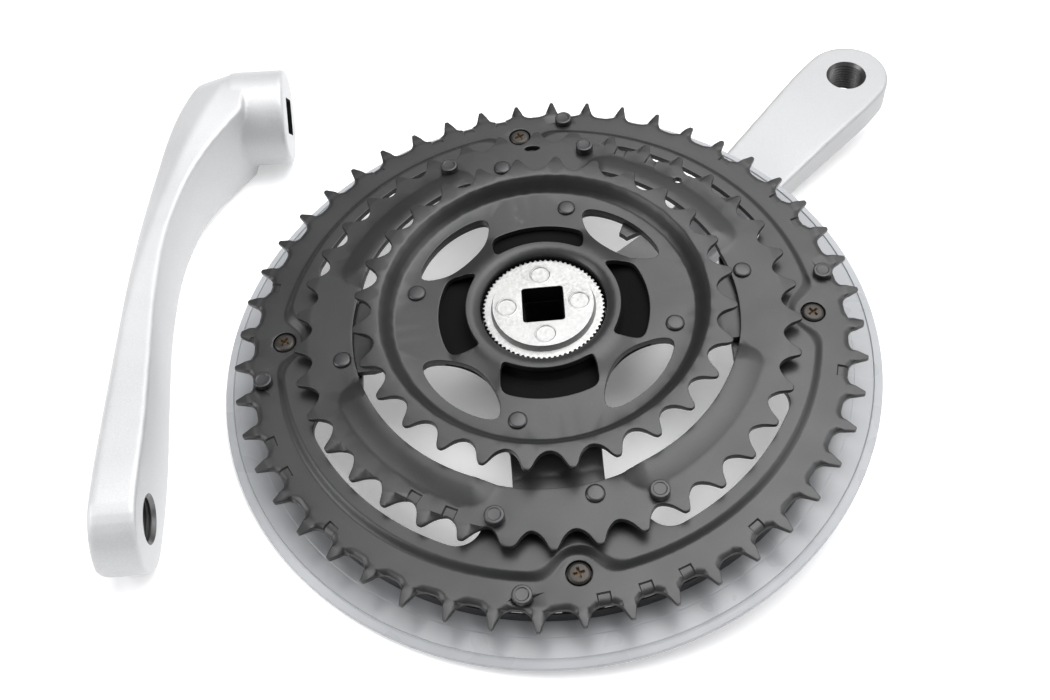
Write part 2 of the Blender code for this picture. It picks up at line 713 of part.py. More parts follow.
def lean_angle():
    """The unit rests on the guard's rim on one side and on the arm's bend on the other."""
    run, depth = ARM_CONTACT
    drop = (depth - BOSS_TOP) + GUARD_RIM_BOTTOM
    return math.atan2(drop, run + GUARD_RADIUS)


def surface_height():
    """Height of the surface that both halves lie on, below the socket's mouth."""
    lean = lean_angle()
    run, depth = ARM_CONTACT
    return -(depth * math.cos(lean) - run * math.sin(lean))


def drive_frame():
    """The ring frame as it leans in the world."""
    turn = Matrix.Rotation(math.radians(ARM_HEADING), 4, "Z")
    lean = Matrix.Rotation(-lean_angle(), 4, "Y")
    lower = Matrix.Translation((0.0, 0.0, -BOSS_TOP * MM))
    return turn @ lean @ turn.inverted() @ lower


def left_arm_frame():
    """On its edge: the pedal end is lower than the boss, and the inner face looks along +X."""
    heading = math.radians(LEFT_ARM_HEADING)
    dip = math.asin((BOSS_RADIUS + BOSS_SKIN - EYE_RADIUS) / ARM_LENGTH)
    along = Vector((math.cos(heading) * math.cos(dip), math.sin(heading) * math.cos(dip), -math.sin(dip)))
    inboard = Vector((-math.sin(heading), math.cos(heading), 0.0))
    across = inboard.cross(along)
    place = Vector((*LEFT_BOSS_PLACE, surface_height() + BOSS_RADIUS + BOSS_SKIN)) * MM
    frame = Matrix((along, across, inboard)).transposed().to_4x4()
    return Matrix.Translation(place) @ frame


def make_empty(name, frame):
    made = bpy.data.objects.new(name, None)
    bpy.context.scene.collection.objects.link(made)
    made.matrix_world = frame
    return made


def build_crankset():
    clear_scene()
    drive = make_empty("drive_side_axis", drive_frame())
    build_large_ring(drive)
    build_middle_ring(drive)
    build_small_ring(drive)
    build_spider(drive)
    build_guard(drive)
    disc_bottom = DISH_TOP - 2.0 * PLATE - GAP
    tab_bottom = LARGE_RAISE - PLATE
    fastener_set("small_ring_rivet", SMALL_RIVETS, rivet_profile(DISH_TOP, disc_bottom), 8, STEEL, drive)
    fastener_set("middle_ring_rivet", MIDDLE_RIVETS, rivet_profile(MIDDLE_TOP, tab_bottom), 8, STEEL, drive)
    fastener_set("large_ring_shift_pin", LARGE_PINS, pin_profile(0.0, LARGE_PIN_HEIGHT), 8, STEEL, drive)
    fastener_set("middle_ring_shift_pin", MIDDLE_PINS, pin_profile(MIDDLE_TOP, MIDDLE_PIN_HEIGHT), 8, STEEL, drive)
    fastener_set("guard_screw", GUARD_SCREWS, screw_profile(), 10, BRONZE, drive)
    arm_axis = make_empty("right_arm_axis", Matrix.Identity(4))
    arm_axis.parent = drive
    arm_axis.matrix_local = (Matrix.Translation((0.0, 0.0, BOSS_TOP * MM))
                             @ Matrix.Rotation(math.radians(ARM_HEADING), 4, "Z"))
    build_arm("right_crank_arm", drive_boss(), arm_axis)
    left_axis = make_empty("left_arm_axis", left_arm_frame())
    build_arm("left_crank_arm", plain_boss(), left_axis)


build_crankset()
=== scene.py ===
"""Looks of the triple crankset: pressed black rings, smoked guard, silver arms."""

import json
import math

import bmesh
import bpy
import numpy as np
from mathutils import Matrix, Vector
from mathutils.geometry import delaunay_2d_cdt
from mathutils.kdtree import KDTree


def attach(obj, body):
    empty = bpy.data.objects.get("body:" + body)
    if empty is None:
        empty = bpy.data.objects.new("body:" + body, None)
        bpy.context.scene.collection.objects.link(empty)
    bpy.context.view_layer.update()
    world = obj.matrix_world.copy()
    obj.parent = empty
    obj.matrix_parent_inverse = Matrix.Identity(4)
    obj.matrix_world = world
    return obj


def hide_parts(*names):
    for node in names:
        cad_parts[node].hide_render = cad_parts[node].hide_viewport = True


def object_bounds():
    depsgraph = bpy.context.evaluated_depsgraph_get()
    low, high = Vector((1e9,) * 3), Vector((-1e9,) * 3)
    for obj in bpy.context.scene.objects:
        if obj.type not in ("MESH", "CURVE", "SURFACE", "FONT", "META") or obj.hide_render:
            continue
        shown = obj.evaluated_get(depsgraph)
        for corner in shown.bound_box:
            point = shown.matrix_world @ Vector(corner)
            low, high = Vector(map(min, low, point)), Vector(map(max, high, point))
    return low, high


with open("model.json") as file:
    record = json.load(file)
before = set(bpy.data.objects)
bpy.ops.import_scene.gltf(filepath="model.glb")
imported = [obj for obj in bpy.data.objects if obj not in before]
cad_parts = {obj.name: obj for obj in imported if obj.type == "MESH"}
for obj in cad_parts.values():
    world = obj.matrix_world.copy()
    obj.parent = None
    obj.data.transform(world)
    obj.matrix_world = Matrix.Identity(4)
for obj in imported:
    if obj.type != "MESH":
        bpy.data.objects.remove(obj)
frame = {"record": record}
cad_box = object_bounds()
MM = 0.001

# ---------- the design's own sizes, mm
# heights are above the large ring's face, angles are degrees round the ring frame
CHAIN_PITCH = 12.7
ROLLER_SEAT = 4.0
PLATE = 2.2
GAP = 0.3
TOOTH_THINNING = 0.42
# teeth and the angle of the first tooth
LARGE_TEETH, LARGE_PHASE = 48, 81.4
MIDDLE_TEETH, MIDDLE_PHASE = 38, 207.7
SMALL_TEETH, SMALL_PHASE = 28, 206.8
# a flank is heights above the valley with the half widths of the tooth there
LARGE_FLANK = ((5.75, 0.35), (5.6, 0.62), (5.2, 0.82), (4.6, 1.02), (4.0, 1.24), (3.3, 1.5), (2.65, 1.75),
               (2.1, 1.91), (1.6, 2.17), (1.1, 2.56), (0.6, 3.25), (0.28, 4.0), (0.08, 4.9))
MIDDLE_FLANK = ((5.68, 0.35), (5.55, 0.75), (5.2, 1.1), (4.5, 1.5), (3.4, 2.05), (2.4, 2.6), (1.5, 3.35),
                (0.8, 4.1), (0.3, 4.9), (0.05, 5.7))
SMALL_FLANK = ((5.8, 0.3), (5.7, 0.65), (5.3, 1.05), (4.6, 1.5), (3.6, 1.95), (2.7, 2.35), (1.8, 2.9),
               (1.0, 3.6), (0.4, 4.5), (0.08, 5.3))
# shift teeth, by number: extra height, width factor at the tip, lean of the tip
LARGE_SHIFT_TEETH = {12: (-0.6, 1.6, 0.0), 17: (-0.1, 1.0, 0.15), 19: (-0.45, 1.05, 0.35),
                     20: (-0.6, 1.0, 0.75), 21: (0.55, 0.9, 0.1), 22: (0.6, 0.85, 0.0), 23: (0.6, 0.85, 0.0),
                     24: (0.55, 0.9, 0.0), 25: (-0.15, 0.85, 0.2), 28: (-0.2, 1.0, 0.0)}
LARGE_BEVELLED = (12, 17, 19, 20, 21, 22, 23, 24, 25)
MIDDLE_SHIFT_TEETH = {3: (-0.15, 1.0, 0.3), 4: (-0.3, 0.9, 0.7), 5: (-0.7, 1.7, 0.0)}
MIDDLE_BEVELLED = (0, 1, 2, 3, 4)
BEVEL_EDGE, BEVEL_WIDTH, BEVEL_DEPTH = 0.35, 2.2, 0.9
# pressed pockets behind some valleys
LARGE_POCKETS = (92.65, 100.15, 107.65, 122.65, 160.15, 197.65, 205.15, 220.15,
                 272.65, 280.15, 287.65, 302.65, 340.15, 17.65, 25.15, 40.15)
MIDDLE_POCKETS = (231.6, 240.9, 52.4, 61.4)
POCKET_HALF, POCKET_DEPTH, POCKET_RIM = 1.6, 0.55, 0.4
LARGE_POCKET_START, MIDDLE_POCKET_START = 90.1, 70.4
# large ring: rolled valley edges, a raised zone that goes round the guard screws, four windows
VALLEY_ROLL, VALLEY_ROLL_DEPTH, LARGE_ROLL_BAND = 2.1, 1.5, (93.6, 95.4)
LARGE_RAISE = 1.6
LARGE_TOE, LARGE_SLOPE = 85.3, 2.8
SCREW_FLAT, SCREW_BLEND = 5.2, 7.5
WINDOW_RADIUS, WINDOW_FILLET = 78.9, 7.1
LARGE_GUIDE = 88.0
TAB_END = 60.9
WINDOWS = ((222.0, 26.0), (309.5, 23.5), (42.0, 26.0), (132.0, 26.0))
# middle ring: four raised bands along the bore
MIDDLE_TOP, MIDDLE_BORE, MIDDLE_GUIDE = 6.7, 59.9, 61.0
BAND_HEIGHT, BAND_CREST, BAND_SLOPE, BAND_HALF_LENGTH = 2.0, 62.2, 7.0, 23.5
BAND_CENTRES = (222.0, 312.0, 42.0, 132.0)
# vents: radius, angle, half length, half width
MIDDLE_VENTS = ((69.0, 42.7, 1.3, 1.3), (70.6, 86.0, 2.6, 1.1))
# small ring: dish, crown with a rolled collar, four slots round it and four lens openings
SMALL_TOP = 15.4
DISH_OUTER, DISH_INNER, DISH_TOP = 50.2, 46.3, 10.3
CROWN_TOP, CROWN_OUTER, CROWN_BORE, LEG_FOOT = 13.4, 25.4, 19.5, 32.0
SLOT_OUTER, SLOT_INNER, SLOT_HALF_WIDTH, SLOT_CENTRE = 32.5, 23.9, 14.9, -3.4
COLLAR_CREST, COLLAR_DROP = 22.6, 1.5
LENS_CENTRE, LENS_CHORD_RADIUS, LENS_HALF_CHORD = 42.0, 38.2, 16.9
LENS_OUTWARD, LENS_INWARD = 4.9, 8.6
# spider: its openings are wider than the small ring's, and one has a tab
LENS_MARGIN = 1.0
WELL_SHADE_RADIUS = 34.5
TAB_SECTOR, TAB_LENGTH = (38.0, 44.5), 4.8
SPIDER_RADIUS, SPIDER_BORE, SLEEVE_RADIUS = 46.7, 19.2, 23.9
SPIDER_ARM_HALF_WIDTH, SPIDER_ARM_END, SPIDER_ARM_CENTRE = 13.2, 68.5, -3.4
SPIDER_STEP_START, SPIDER_STEP_END = 47.2, 55.3
# chain guard
GUARD_RADIUS, GUARD_BORE = 105.2, 90.6
GUARD_TOP, GUARD_WEB = -12.2, 1.7
GUARD_RIM_TOP, GUARD_RIM_BOTTOM = -12.9, -14.7
GUARD_LIP_TOP, GUARD_LIP_WIDTH = -8.7, 0.6
GUARD_LINE, GUARD_STEP_LINE = 102.5, 96.4
GUARD_LUG_HALF_WIDTH, GUARD_LUG_END, GUARD_POST_RADIUS = 6.0, 76.6, 4.3
# fasteners: radius of the circle and their angles
SMALL_RIVETS = (40.4, (72.0, 162.0, 252.0, 342.0))
MIDDLE_RIVETS = (63.6, (5.6, 95.6, 185.6, 275.6))
LARGE_PINS = (89.5, (3.6, 78.5, 183.6, 258.5))
MIDDLE_PINS = (70.1, (71.3, 110.0, 251.3, 290.0))
GUARD_SCREWS = (83.2, (88.9, 174.1, 268.9, 354.1))
SCREW_TURNS = (20.0, 55.0, 8.0, 32.0)
RIVET_HEAD, RIVET_SHANK = 2.9, 1.9
PIN_HEAD, PIN_SHANK = 2.9, 1.7
LARGE_PIN_HEIGHT, MIDDLE_PIN_HEIGHT = 1.9, 2.6
SCREW_HEAD, SCREW_SHANK, SCREW_TIP = 3.4, 1.9, -11.7
SHANK_CLEARANCE = 0.35
# crank arms; heights are depths below the boss's face
ARM_LENGTH, PEDAL_HOLE, EYE_RADIUS = 172.5, 7.15, 15.7
THREAD_PITCH, THREAD_CREST, THREAD_ROOT = 1.27, -0.65, 0.15
BOSS_RADIUS, BOSS_DEPTH, SWEEP_RADIUS = 17.5, 17.2, 17.2
SOCKET_HALF_WIDTH, SOCKET_TAPER, SOCKET_DEPTH = 6.35, math.tan(math.radians(2.0)), 21.0
SOCKET_SHADE_REACH = 9.6
DIAGONAL = 1.4142
RECESS_RADIUS = 11.0
EYE_INNER, EYE_OUTER = 35.1, 48.7
SEAT_OFFSET, FACE_OFFSET = 10.8, 12.4
BOSS_TOP, DISC_RADIUS = 12.6, 15.7
SHOULDER_TOP, SHOULDER_RADIUS = 10.5, 18.8
FLANGE_TOP, FLANGE_BOTTOM, FLANGE_RADIUS = 5.3, 0.5, 21.3
KNURL_TEETH, KNURL_DEPTH = 72, 0.55
MARKS = (11.15, (-3.0, 87.0, 177.0, 267.0))
MARK_RADIUS, MARK_DEPTH, MARK_LIP, MARK_DOT = 2.75, 0.22, 0.12, 0.1
# along the arm: depth of the inner face, outer face and facet, half width, width of the facet
ARM_INNER = ((-17.2, 14.2), (13.2, 14.2), (16.2, 16.2), (24.4, 21.6), (31.5, 25.9), (41.6, 30.4),
             (52.8, 33.7), (69, 36.7), (85.2, 37.7), (101.5, 37.7), (126.8, 36.4), (148.1, 35.3),
             (160.3, 35.1), (174.5, 35.1), (188.7, 35.1))
ARM_OUTER = ((-17.2, 27.4), (-10.1, 31.5), (0, 35), (12.2, 38.9), (25.4, 41.9), (38.6, 44),
             (50.7, 45.6), (71, 47.3), (101.5, 48.3), (137, 48.7), (152.2, 48.7), (170.5, 48.7),
             (188.7, 48.7))
ARM_FACET = ((-17.2, 15.7), (0, 22.8), (14.2, 28.4), (31.5, 34.7), (48.7, 39.4), (70, 43.6),
             (89.3, 46.1), (106.5, 46.9), (137, 47.2), (152.2, 47.2), (170.5, 47.2), (188.7, 47.2))
ARM_SIDE = ((0, 17.2), (10.1, 16.9), (22.3, 15.6), (36.5, 13.9), (52.8, 12.9), (76.1, 12.6),
            (106.5, 12.8), (137, 14.2), (162.4, 15.7), (172.5, 15.7))
FACET_WIDTH = ((-17.2, 4.1), (10.1, 4.1), (50.7, 3.2), (89.3, 1.8), (106.5, 1.5), (188.7, 1.5))


# ---------- small geometry helpers
def polar(radius, degrees):
    a = math.radians(degrees)
    return (radius * math.cos(a), radius * math.sin(a))


def arc(radius, start, end, count, centre=(0.0, 0.0)):
    out = []
    for i in range(count + 1):
        x, y = polar(radius, start + (end - start) * i / count)
        out.append((centre[0] + x, centre[1] + y))
    return out


def circle(radius, count, centre=(0.0, 0.0)):
    return arc(radius, 0.0, 360.0, count, centre)[:-1]


def between(first, last, pieces):
    """The points that divide a straight side, without its ends."""
    run, rise = last[0] - first[0], last[1] - first[1]
    return [(first[0] + run * k / pieces, first[1] + rise * k / pieces) for k in range(1, pieces)]


def turned(points, degrees):
    """Points turned about the middle."""
    c, s = math.cos(math.radians(degrees)), math.sin(math.radians(degrees))
    return [(c * x - s * y, s * x + c * y) for x, y in points]


def ramp(value, start, end):
    """0 before start, 1 after end, and an even curve between them."""
    t = min(1.0, max(0.0, (value - start) / (end - start)))
    return t * t * (3.0 - 2.0 * t)


def curve_at(points, at):
    """Height of a smooth curve through the points."""
    if at <= points[0][0]:
        return points[0][1]
    for i in range(len(points) - 1):
        x0, y0 = points[i]
        x1, y1 = points[i + 1]
        if at <= x1:
            bx, by = points[max(i - 1, 0)]
            ax, ay = points[min(i + 2, len(points) - 1)]
            span = x1 - x0
            m0 = (y1 - by) / (x1 - bx) * span
            m1 = (ay - y0) / (ax - x0) * span
            t = (at - x0) / span
            return ((2 * t ** 3 - 3 * t ** 2 + 1) * y0 + (t ** 3 - 2 * t ** 2 + t) * m0
                    + (3 * t ** 2 - 2 * t ** 3) * y1 + (t ** 3 - t ** 2) * m1)
    return points[-1][1]


def facing(loop, ccw):
    """The loop, running counterclockwise or clockwise."""
    area = sum(a[0] * b[1] - b[0] * a[1] for a, b in zip(loop, loop[1:] + loop[:1]))
    return loop if (area > 0) == ccw else list(reversed(loop))


def inset(loop, distance):
    """Move a loop to its left, into the material."""
    pts = np.array(loop)
    before = np.roll(pts, 1, axis=0)
    after = np.roll(pts, -1, axis=0)
    d0 = pts - before
    d1 = after - pts
    d0 /= np.maximum(np.linalg.norm(d0, axis=1), 1e-9)[:, None]
    d1 /= np.maximum(np.linalg.norm(d1, axis=1), 1e-9)[:, None]
    n0 = np.stack((-d0[:, 1], d0[:, 0]), axis=1)
    n1 = np.stack((-d1[:, 1], d1[:, 0]), axis=1)
    n = n0 + n1
    n /= np.maximum(np.linalg.norm(n, axis=1), 1e-9)[:, None]
    stretch = np.clip(np.sum(n * n0, axis=1), 0.55, 1.0)
    return [tuple(p) for p in pts + n * (distance / stretch)[:, None]]


def inside_many(points, loop):
    """For each point, whether it is inside the loop."""
    x, y = points[:, 0], points[:, 1]
    hit = np.zeros(len(points), bool)
    lx, ly = np.array(loop).T
    for x0, y0, x1, y1 in zip(np.roll(lx, 1), np.roll(ly, 1), lx, ly):
        if y0 == y1:
            continue
        cross = (y0 > y) != (y1 > y)
        hit ^= cross & (x < (x1 - x0) * (y - y0) / (y1 - y0) + x0)
    return hit


RIM_SAMPLE = 0.12


def plate_bm(outline, holes, guides, top, under, edge=0.3, roll=None):
    """A pressed plate between two heights, with rounded rims on every edge.

    guides are extra loops that the mesh follows. roll is a radius band: inward of it the outline's
    top edge is rolled over, as pressing leaves it.
    """
    rims = [facing(outline, True)] + [facing(h, False) for h in holes]
    loops = list(rims)

    def roll_share(x, y):
        return 1.0 - ramp(math.hypot(x, y), roll[0], roll[1])

    for rim in rims:
        for share in (0.35, 1.0):
            loops.append(inset(rim, edge * share))
    if roll is not None:
        wide = np.array([edge + 0.05 + (VALLEY_ROLL - edge) * roll_share(x, y) for x, y in rims[0]])
        loops.append(inset(rims[0], (wide + edge) * 0.5))
        loops.append(inset(rims[0], wide))
    loops += guides
    points, edges = [], []
    for loop in loops:
        start = len(points)
        points.extend(Vector(p) for p in loop)
        edges.extend((start + i, start + (i + 1) % len(loop)) for i in range(len(loop)))
    corners, _, faces, *_ = delaunay_2d_cdt(points, edges, [], 0, 1e-5)
    xy = np.array([(c.x, c.y) for c in corners])
    tri = np.array([list(f) for f in faces])
    mid = xy[tri].mean(axis=1)
    # leave out what lies outside the outline or in a hole, and turn every face up
    keep = inside_many(mid, outline)
    for hole in holes:
        lo, hi = np.min(hole, axis=0), np.max(hole, axis=0)
        near = np.all((mid > lo) & (mid < hi), axis=1) & keep
        if near.any():
            idx = np.nonzero(near)[0]
            keep[idx[inside_many(mid[idx], hole)]] = False
    tri = tri[keep]
    a, b, c = xy[tri[:, 0]], xy[tri[:, 1]], xy[tri[:, 2]]
    turn = (b[:, 0] - a[:, 0]) * (c[:, 1] - a[:, 1]) - (b[:, 1] - a[:, 1]) * (c[:, 0] - a[:, 0])
    tri[turn < 0] = tri[turn < 0][:, ::-1]
    # a tree that gives every corner's distance to the nearest rim
    samples = []
    for rim in rims:
        for p, q in zip(rim, rim[1:] + rim[:1]):
            length = math.dist(p, q)
            n = max(1, int(length / RIM_SAMPLE))
            samples += [(p[0] + (q[0] - p[0]) * k / n, p[1] + (q[1] - p[1]) * k / n) for k in range(n)]
    tree = KDTree(len(samples))
    for i, s in enumerate(samples):
        tree.insert((s[0], s[1], 0.0), i)
    tree.balance()

    def drop(distance, size):
        if distance >= size or size <= 0.0:
            return 0.0
        return size - math.sqrt(max(0.0, size * size - (size - distance) ** 2))

    bm = bmesh.new()
    up, down = {}, {}
    for i in np.unique(tri):
        x, y = xy[i]
        d = tree.find((x, y, 0.0))[2]
        d = 0.0 if d < 0.02 else d
        fall = drop(d, edge)
        if roll is not None and math.hypot(x, y) > roll[0] - 4.0:
            share = roll_share(x, y)
            width = edge + (VALLEY_ROLL - edge) * share
            if d < width:
                depth = edge + (VALLEY_ROLL_DEPTH - edge) * share
                fall = depth * (1.0 - math.sqrt(max(0.0, 1.0 - (1.0 - d / width) ** 2)))
        up[i] = bm.verts.new((x, y, top(x, y) - fall))
        down[i] = bm.verts.new((x, y, under(x, y) + drop(d, edge)))
    sides = set()
    for a, b, c in tri:
        bm.faces.new((up[a], up[b], up[c]))
        bm.faces.new((down[c], down[b], down[a]))
        sides.update(((a, b), (b, c), (c, a)))
    for a, b in sides:
        if (b, a) not in sides:
            bm.faces.new((up[b], up[a], down[a], down[b]))
    return bm


def turned_bm(profile, sides):
    """Solid of revolution about Z. The profile runs up from the axis and back to it."""
    bm = bmesh.new()
    rings = []
    for r, z in profile[1:-1]:
        rings.append([bm.verts.new((*polar(r, 360.0 * i / sides), z)) for i in range(sides)])
    low, high = bm.verts.new((0, 0, profile[0][1])), bm.verts.new((0, 0, profile[-1][1]))
    for i in range(sides):
        j = (i + 1) % sides
        bm.faces.new((low, rings[0][j], rings[0][i]))
        for p, q in zip(rings, rings[1:]):
            bm.faces.new((p[i], p[j], q[j], q[i]))
        bm.faces.new((high, rings[-1][i], rings[-1][j]))
    return bm


def loft_bm(rings):
    """A solid through loops of points that all have the same number of points."""
    bm = bmesh.new()
    rows = [[bm.verts.new(point) for point in ring] for ring in rings]
    for low, high in zip(rows, rows[1:]):
        for i in range(len(low)):
            j = (i + 1) % len(low)
            bm.faces.new((low[i], low[j], high[j], high[i]))
    bm.faces.new(list(reversed(rows[0])))
    bm.faces.new(rows[-1])
    bmesh.ops.recalc_face_normals(bm, faces=bm.faces)
    return bm


def rounded(profile, radius, count):
    """Round the corners of an open profile with short curves."""
    out = [profile[0]]
    for before, here, after in zip(profile, profile[1:], profile[2:]):
        a, b, c = Vector(before), Vector(here), Vector(after)
        reach = min(radius, (a - b).length * 0.45, (c - b).length * 0.45)
        p, q = b + (a - b).normalized() * reach, b + (c - b).normalized() * reach
        for k in range(count + 1):
            t = k / count
            out.append(tuple(p * (1 - t) ** 2 + b * 2 * t * (1 - t) + q * t * t))
    out.append(profile[-1])
    return out


# ---------- frames of the two halves
mounts = {m["name"]: m for m in frame["record"]["mounts"]}
inboard = Vector(mounts["drive_socket"]["axis"]).normalized()
TILT = Vector((0, 0, 1)).rotation_difference(inboard).to_matrix().to_4x4()
RING = (Matrix.Translation(Vector(mounts["drive_socket"]["pos_m"])) @ TILT
        @ Matrix.Translation((0, 0, -BOSS_TOP * MM)))
seat = TILT.inverted() @ (Vector(mounts["right_pedal_seat"]["pos_m"])
                          - Vector(mounts["drive_socket"]["pos_m"]))
SEAT_SIDE = math.asin(SEAT_OFFSET / math.hypot(seat.x / MM, seat.y / MM))
ARM_HEADING = math.degrees(math.atan2(seat.y, seat.x) - SEAT_SIDE)
RIGHT_ARM = (RING @ Matrix.Translation((0, 0, BOSS_TOP * MM))
             @ Matrix.Rotation(math.radians(ARM_HEADING), 4, "Z"))
left_in = Vector(mounts["left_hub_face"]["axis"]).normalized()
left_hub = Vector(mounts["left_hub_face"]["pos_m"])
left_along = (Vector(mounts["left_pedal_seat"]["pos_m"]) + left_in * EYE_OUTER * MM - left_hub).normalized()
LEFT_ARM = (Matrix.Translation(left_hub + left_along * FACE_OFFSET * MM)
            @ Matrix((left_along, left_in.cross(left_along), left_in)).transposed().to_4x4())
FLOOR_Z = cad_box[0][2]


def drawn(name, bm, mat=None):
    """An object in metres from a mesh drawn in millimetres."""
    bmesh.ops.remove_doubles(bm, verts=bm.verts, dist=1e-4)
    bmesh.ops.scale(bm, vec=(MM, MM, MM), verts=bm.verts)
    mesh = bpy.data.meshes.new(name)
    bm.to_mesh(mesh)
    bm.free()
    if mat is not None:
        mesh.materials.append(mat)
    made = bpy.data.objects.new(name, mesh)
    bpy.context.scene.collection.objects.link(made)
    return made


def finish(piece, place, sharp, body, node):
    """Put a piece in place, and say what it rides on and which node it replaces."""
    piece.data.transform(place)
    piece.data.shade_smooth()
    piece.data.set_sharp_from_angle(angle=math.radians(sharp))
    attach(piece, body)
    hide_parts(node)


def add_piece(name, bm, mat, place, body, node, sharp=40):
    made = drawn(name, bm, mat)
    made.modifiers.new("flat_faces", "WEIGHTED_NORMAL").keep_sharp = True
    finish(made, place, sharp, body, node)
    return made


# ---------- materials
def nodes_of(mat):
    mat.use_nodes = True
    return mat.node_tree, mat.node_tree.nodes["Principled BSDF"]


def link(tree, a, b):
    tree.links.new(a, b)


def noise(tree, coords, scale, detail, rough=0.5):
    n = tree.nodes.new("ShaderNodeTexNoise")
    n.inputs["Scale"].default_value = scale
    n.inputs["Detail"].default_value = detail
    n.inputs["Roughness"].default_value = rough
    link(tree, coords, n.inputs["Vector"])
    return n.outputs["Fac"]


def spread(tree, value, low, high, to_low, to_high):
    """Stretch a value from one range to another."""
    m = tree.nodes.new("ShaderNodeMapRange")
    m.inputs["From Min"].default_value = low
    m.inputs["From Max"].default_value = high
    m.inputs["To Min"].default_value = to_low
    m.inputs["To Max"].default_value = to_high
    link(tree, value, m.inputs["Value"])
    return m.outputs["Result"]


def mix(tree, factor, a, b):
    """Blend two colours, given or linked."""
    m = tree.nodes.new("ShaderNodeMix")
    m.data_type = "RGBA"
    link(tree, factor, m.inputs["Factor"])
    for socket, value in ((m.inputs["A"], a), (m.inputs["B"], b)):
        if isinstance(value, tuple):
            socket.default_value = (*value, 1.0)
        else:
            link(tree, value, socket)
    return m.outputs["Result"]


def bump(tree, height, strength, distance):
    b = tree.nodes.new("ShaderNodeBump")
    b.inputs["Strength"].default_value = strength
    b.inputs["Distance"].default_value = distance
    link(tree, height, b.inputs["Height"])
    return b.outputs["Normal"]


def coat_material(name, colour, light, roughness, metallic, grain, grain_depth=0.00002, dust=0.0, wear=None,
                  specular=0.5):
    """Paint or plating: fine grain in bump and roughness, slow colour drift, dust specks, worn edges."""
    mat = bpy.data.materials.new(name)
    tree, shader = nodes_of(mat)
    coords = tree.nodes.new("ShaderNodeTexCoord").outputs["Object"]
    slow = noise(tree, coords, 45.0, 3.0)
    fine = noise(tree, coords, grain, 3.0, 0.6)
    tint = mix(tree, spread(tree, slow, 0.35, 0.65, 0.0, 1.0), colour, light)
    result = mix(tree, spread(tree, fine, 0.3, 0.7, 0.0, 1.0), tint, tuple(c * 1.12 for c in light))
    if dust > 0.0:
        spot = noise(tree, coords, grain * 0.45, 2.0, 0.7)
        cover = spread(tree, spot, 0.68, 0.74, 0.0, dust)
        result = mix(tree, cover, result, (0.35, 0.35, 0.36))
    if wear is not None:
        geometry = tree.nodes.new("ShaderNodeNewGeometry")
        rim = spread(tree, geometry.outputs["Pointiness"], 0.53, 0.6, 0.0, 1.0)
        patch = spread(tree, noise(tree, coords, 260.0, 5.0, 0.65), 0.5, 0.66, 0.0, 0.8)
        both = tree.nodes.new("ShaderNodeMath")
        both.operation = "MULTIPLY"
        link(tree, rim, both.inputs[0])
        link(tree, patch, both.inputs[1])
        result = mix(tree, both.outputs[0], result, wear)
    link(tree, result, shader.inputs["Base Color"])
    link(tree, spread(tree, slow, 0.3, 0.7, roughness - 0.05, roughness + 0.06), shader.inputs["Roughness"])
    shader.inputs["Metallic"].default_value = metallic
    shader.inputs["Specular IOR Level"].default_value = specular
    link(tree, bump(tree, fine, 0.35, grain_depth), shader.inputs["Normal"])
    return mat


E_COAT = coat_material("black_electrocoat_look", (0.015, 0.0153, 0.0156), (0.021, 0.0213, 0.0216), 0.36, 0.0,
                       2400.0, dust=0.04, wear=(0.06, 0.06, 0.06))
STEEL = coat_material("blackened_steel_look", (0.02, 0.02, 0.021), (0.028, 0.028, 0.03), 0.3, 0.1,
                      2600.0, dust=0.06)
SILVER = coat_material("silver_paint_look", (0.50, 0.505, 0.51), (0.55, 0.555, 0.56), 0.48, 0.3,
                       3200.0, 0.00003)
# the same silver paint made darker for the right arm, standing in for less light on it: painted shade
PAINTED_SHADE_SILVER = coat_material("silver_paint_painted_shade_look", (0.38, 0.384, 0.388), (0.42, 0.424, 0.428),
                              0.48, 0.3, 3200.0, 0.00003)
CAST = coat_material("raw_casting_look", (0.25, 0.25, 0.245), (0.39, 0.39, 0.385), 0.42, 0.75,
                     900.0, 0.0002)
BRONZE = coat_material("bronzed_screw_look", (0.018, 0.0165, 0.015), (0.035, 0.031, 0.027), 0.4, 0.45,
                       2600.0)
# a near-black, almost unreflecting colour for deep places that lie in shade: painted shade in the spider's
# well, the square sockets and the hub's square hole
SHADE = coat_material("unlit_well_look", (0.005, 0.005, 0.005), (0.007, 0.007, 0.007), 0.9, 0.0,
                      2400.0, specular=0.06)
# a dark colour for the guard's inner lip, which lies in the shadow of the rings: painted shade
PAINTED_SHADE_LIP = coat_material("painted_shade_lip_look", (0.022, 0.023, 0.024), (0.04, 0.041, 0.043), 0.4, 0.0, 1500.0)
THREAD = coat_material("cut_thread_look", (0.10, 0.10, 0.10), (0.15, 0.15, 0.15), 0.35, 0.8, 2600.0)
RUST = coat_material("rusted_recess_look", (0.07, 0.045, 0.022), (0.14, 0.085, 0.04), 0.7, 0.1,
                     2600.0, 0.00004)


def smoke_material(name, colour, light):
    """Smoked plastic that lets a little of what lies behind it through."""
    mat = bpy.data.materials.new(name)
    tree, shader = nodes_of(mat)
    coords = tree.nodes.new("ShaderNodeTexCoord").outputs["Object"]
    slow = noise(tree, coords, 30.0, 3.0)
    fine = noise(tree, coords, 1400.0, 3.0)
    tint = mix(tree, spread(tree, slow, 0.35, 0.65, 0.0, 1.0), colour, light)
    link(tree, tint, shader.inputs["Base Color"])
    link(tree, spread(tree, slow, 0.3, 0.7, 0.24, 0.34), shader.inputs["Roughness"])
    link(tree, bump(tree, fine, 0.2, 0.00002), shader.inputs["Normal"])
    shader.inputs["Alpha"].default_value = 0.9
    shader.inputs["IOR"].default_value = 1.49
    return mat


SMOKE = smoke_material("smoke_plastic_look", (0.34, 0.35, 0.366), (0.39, 0.40, 0.416))
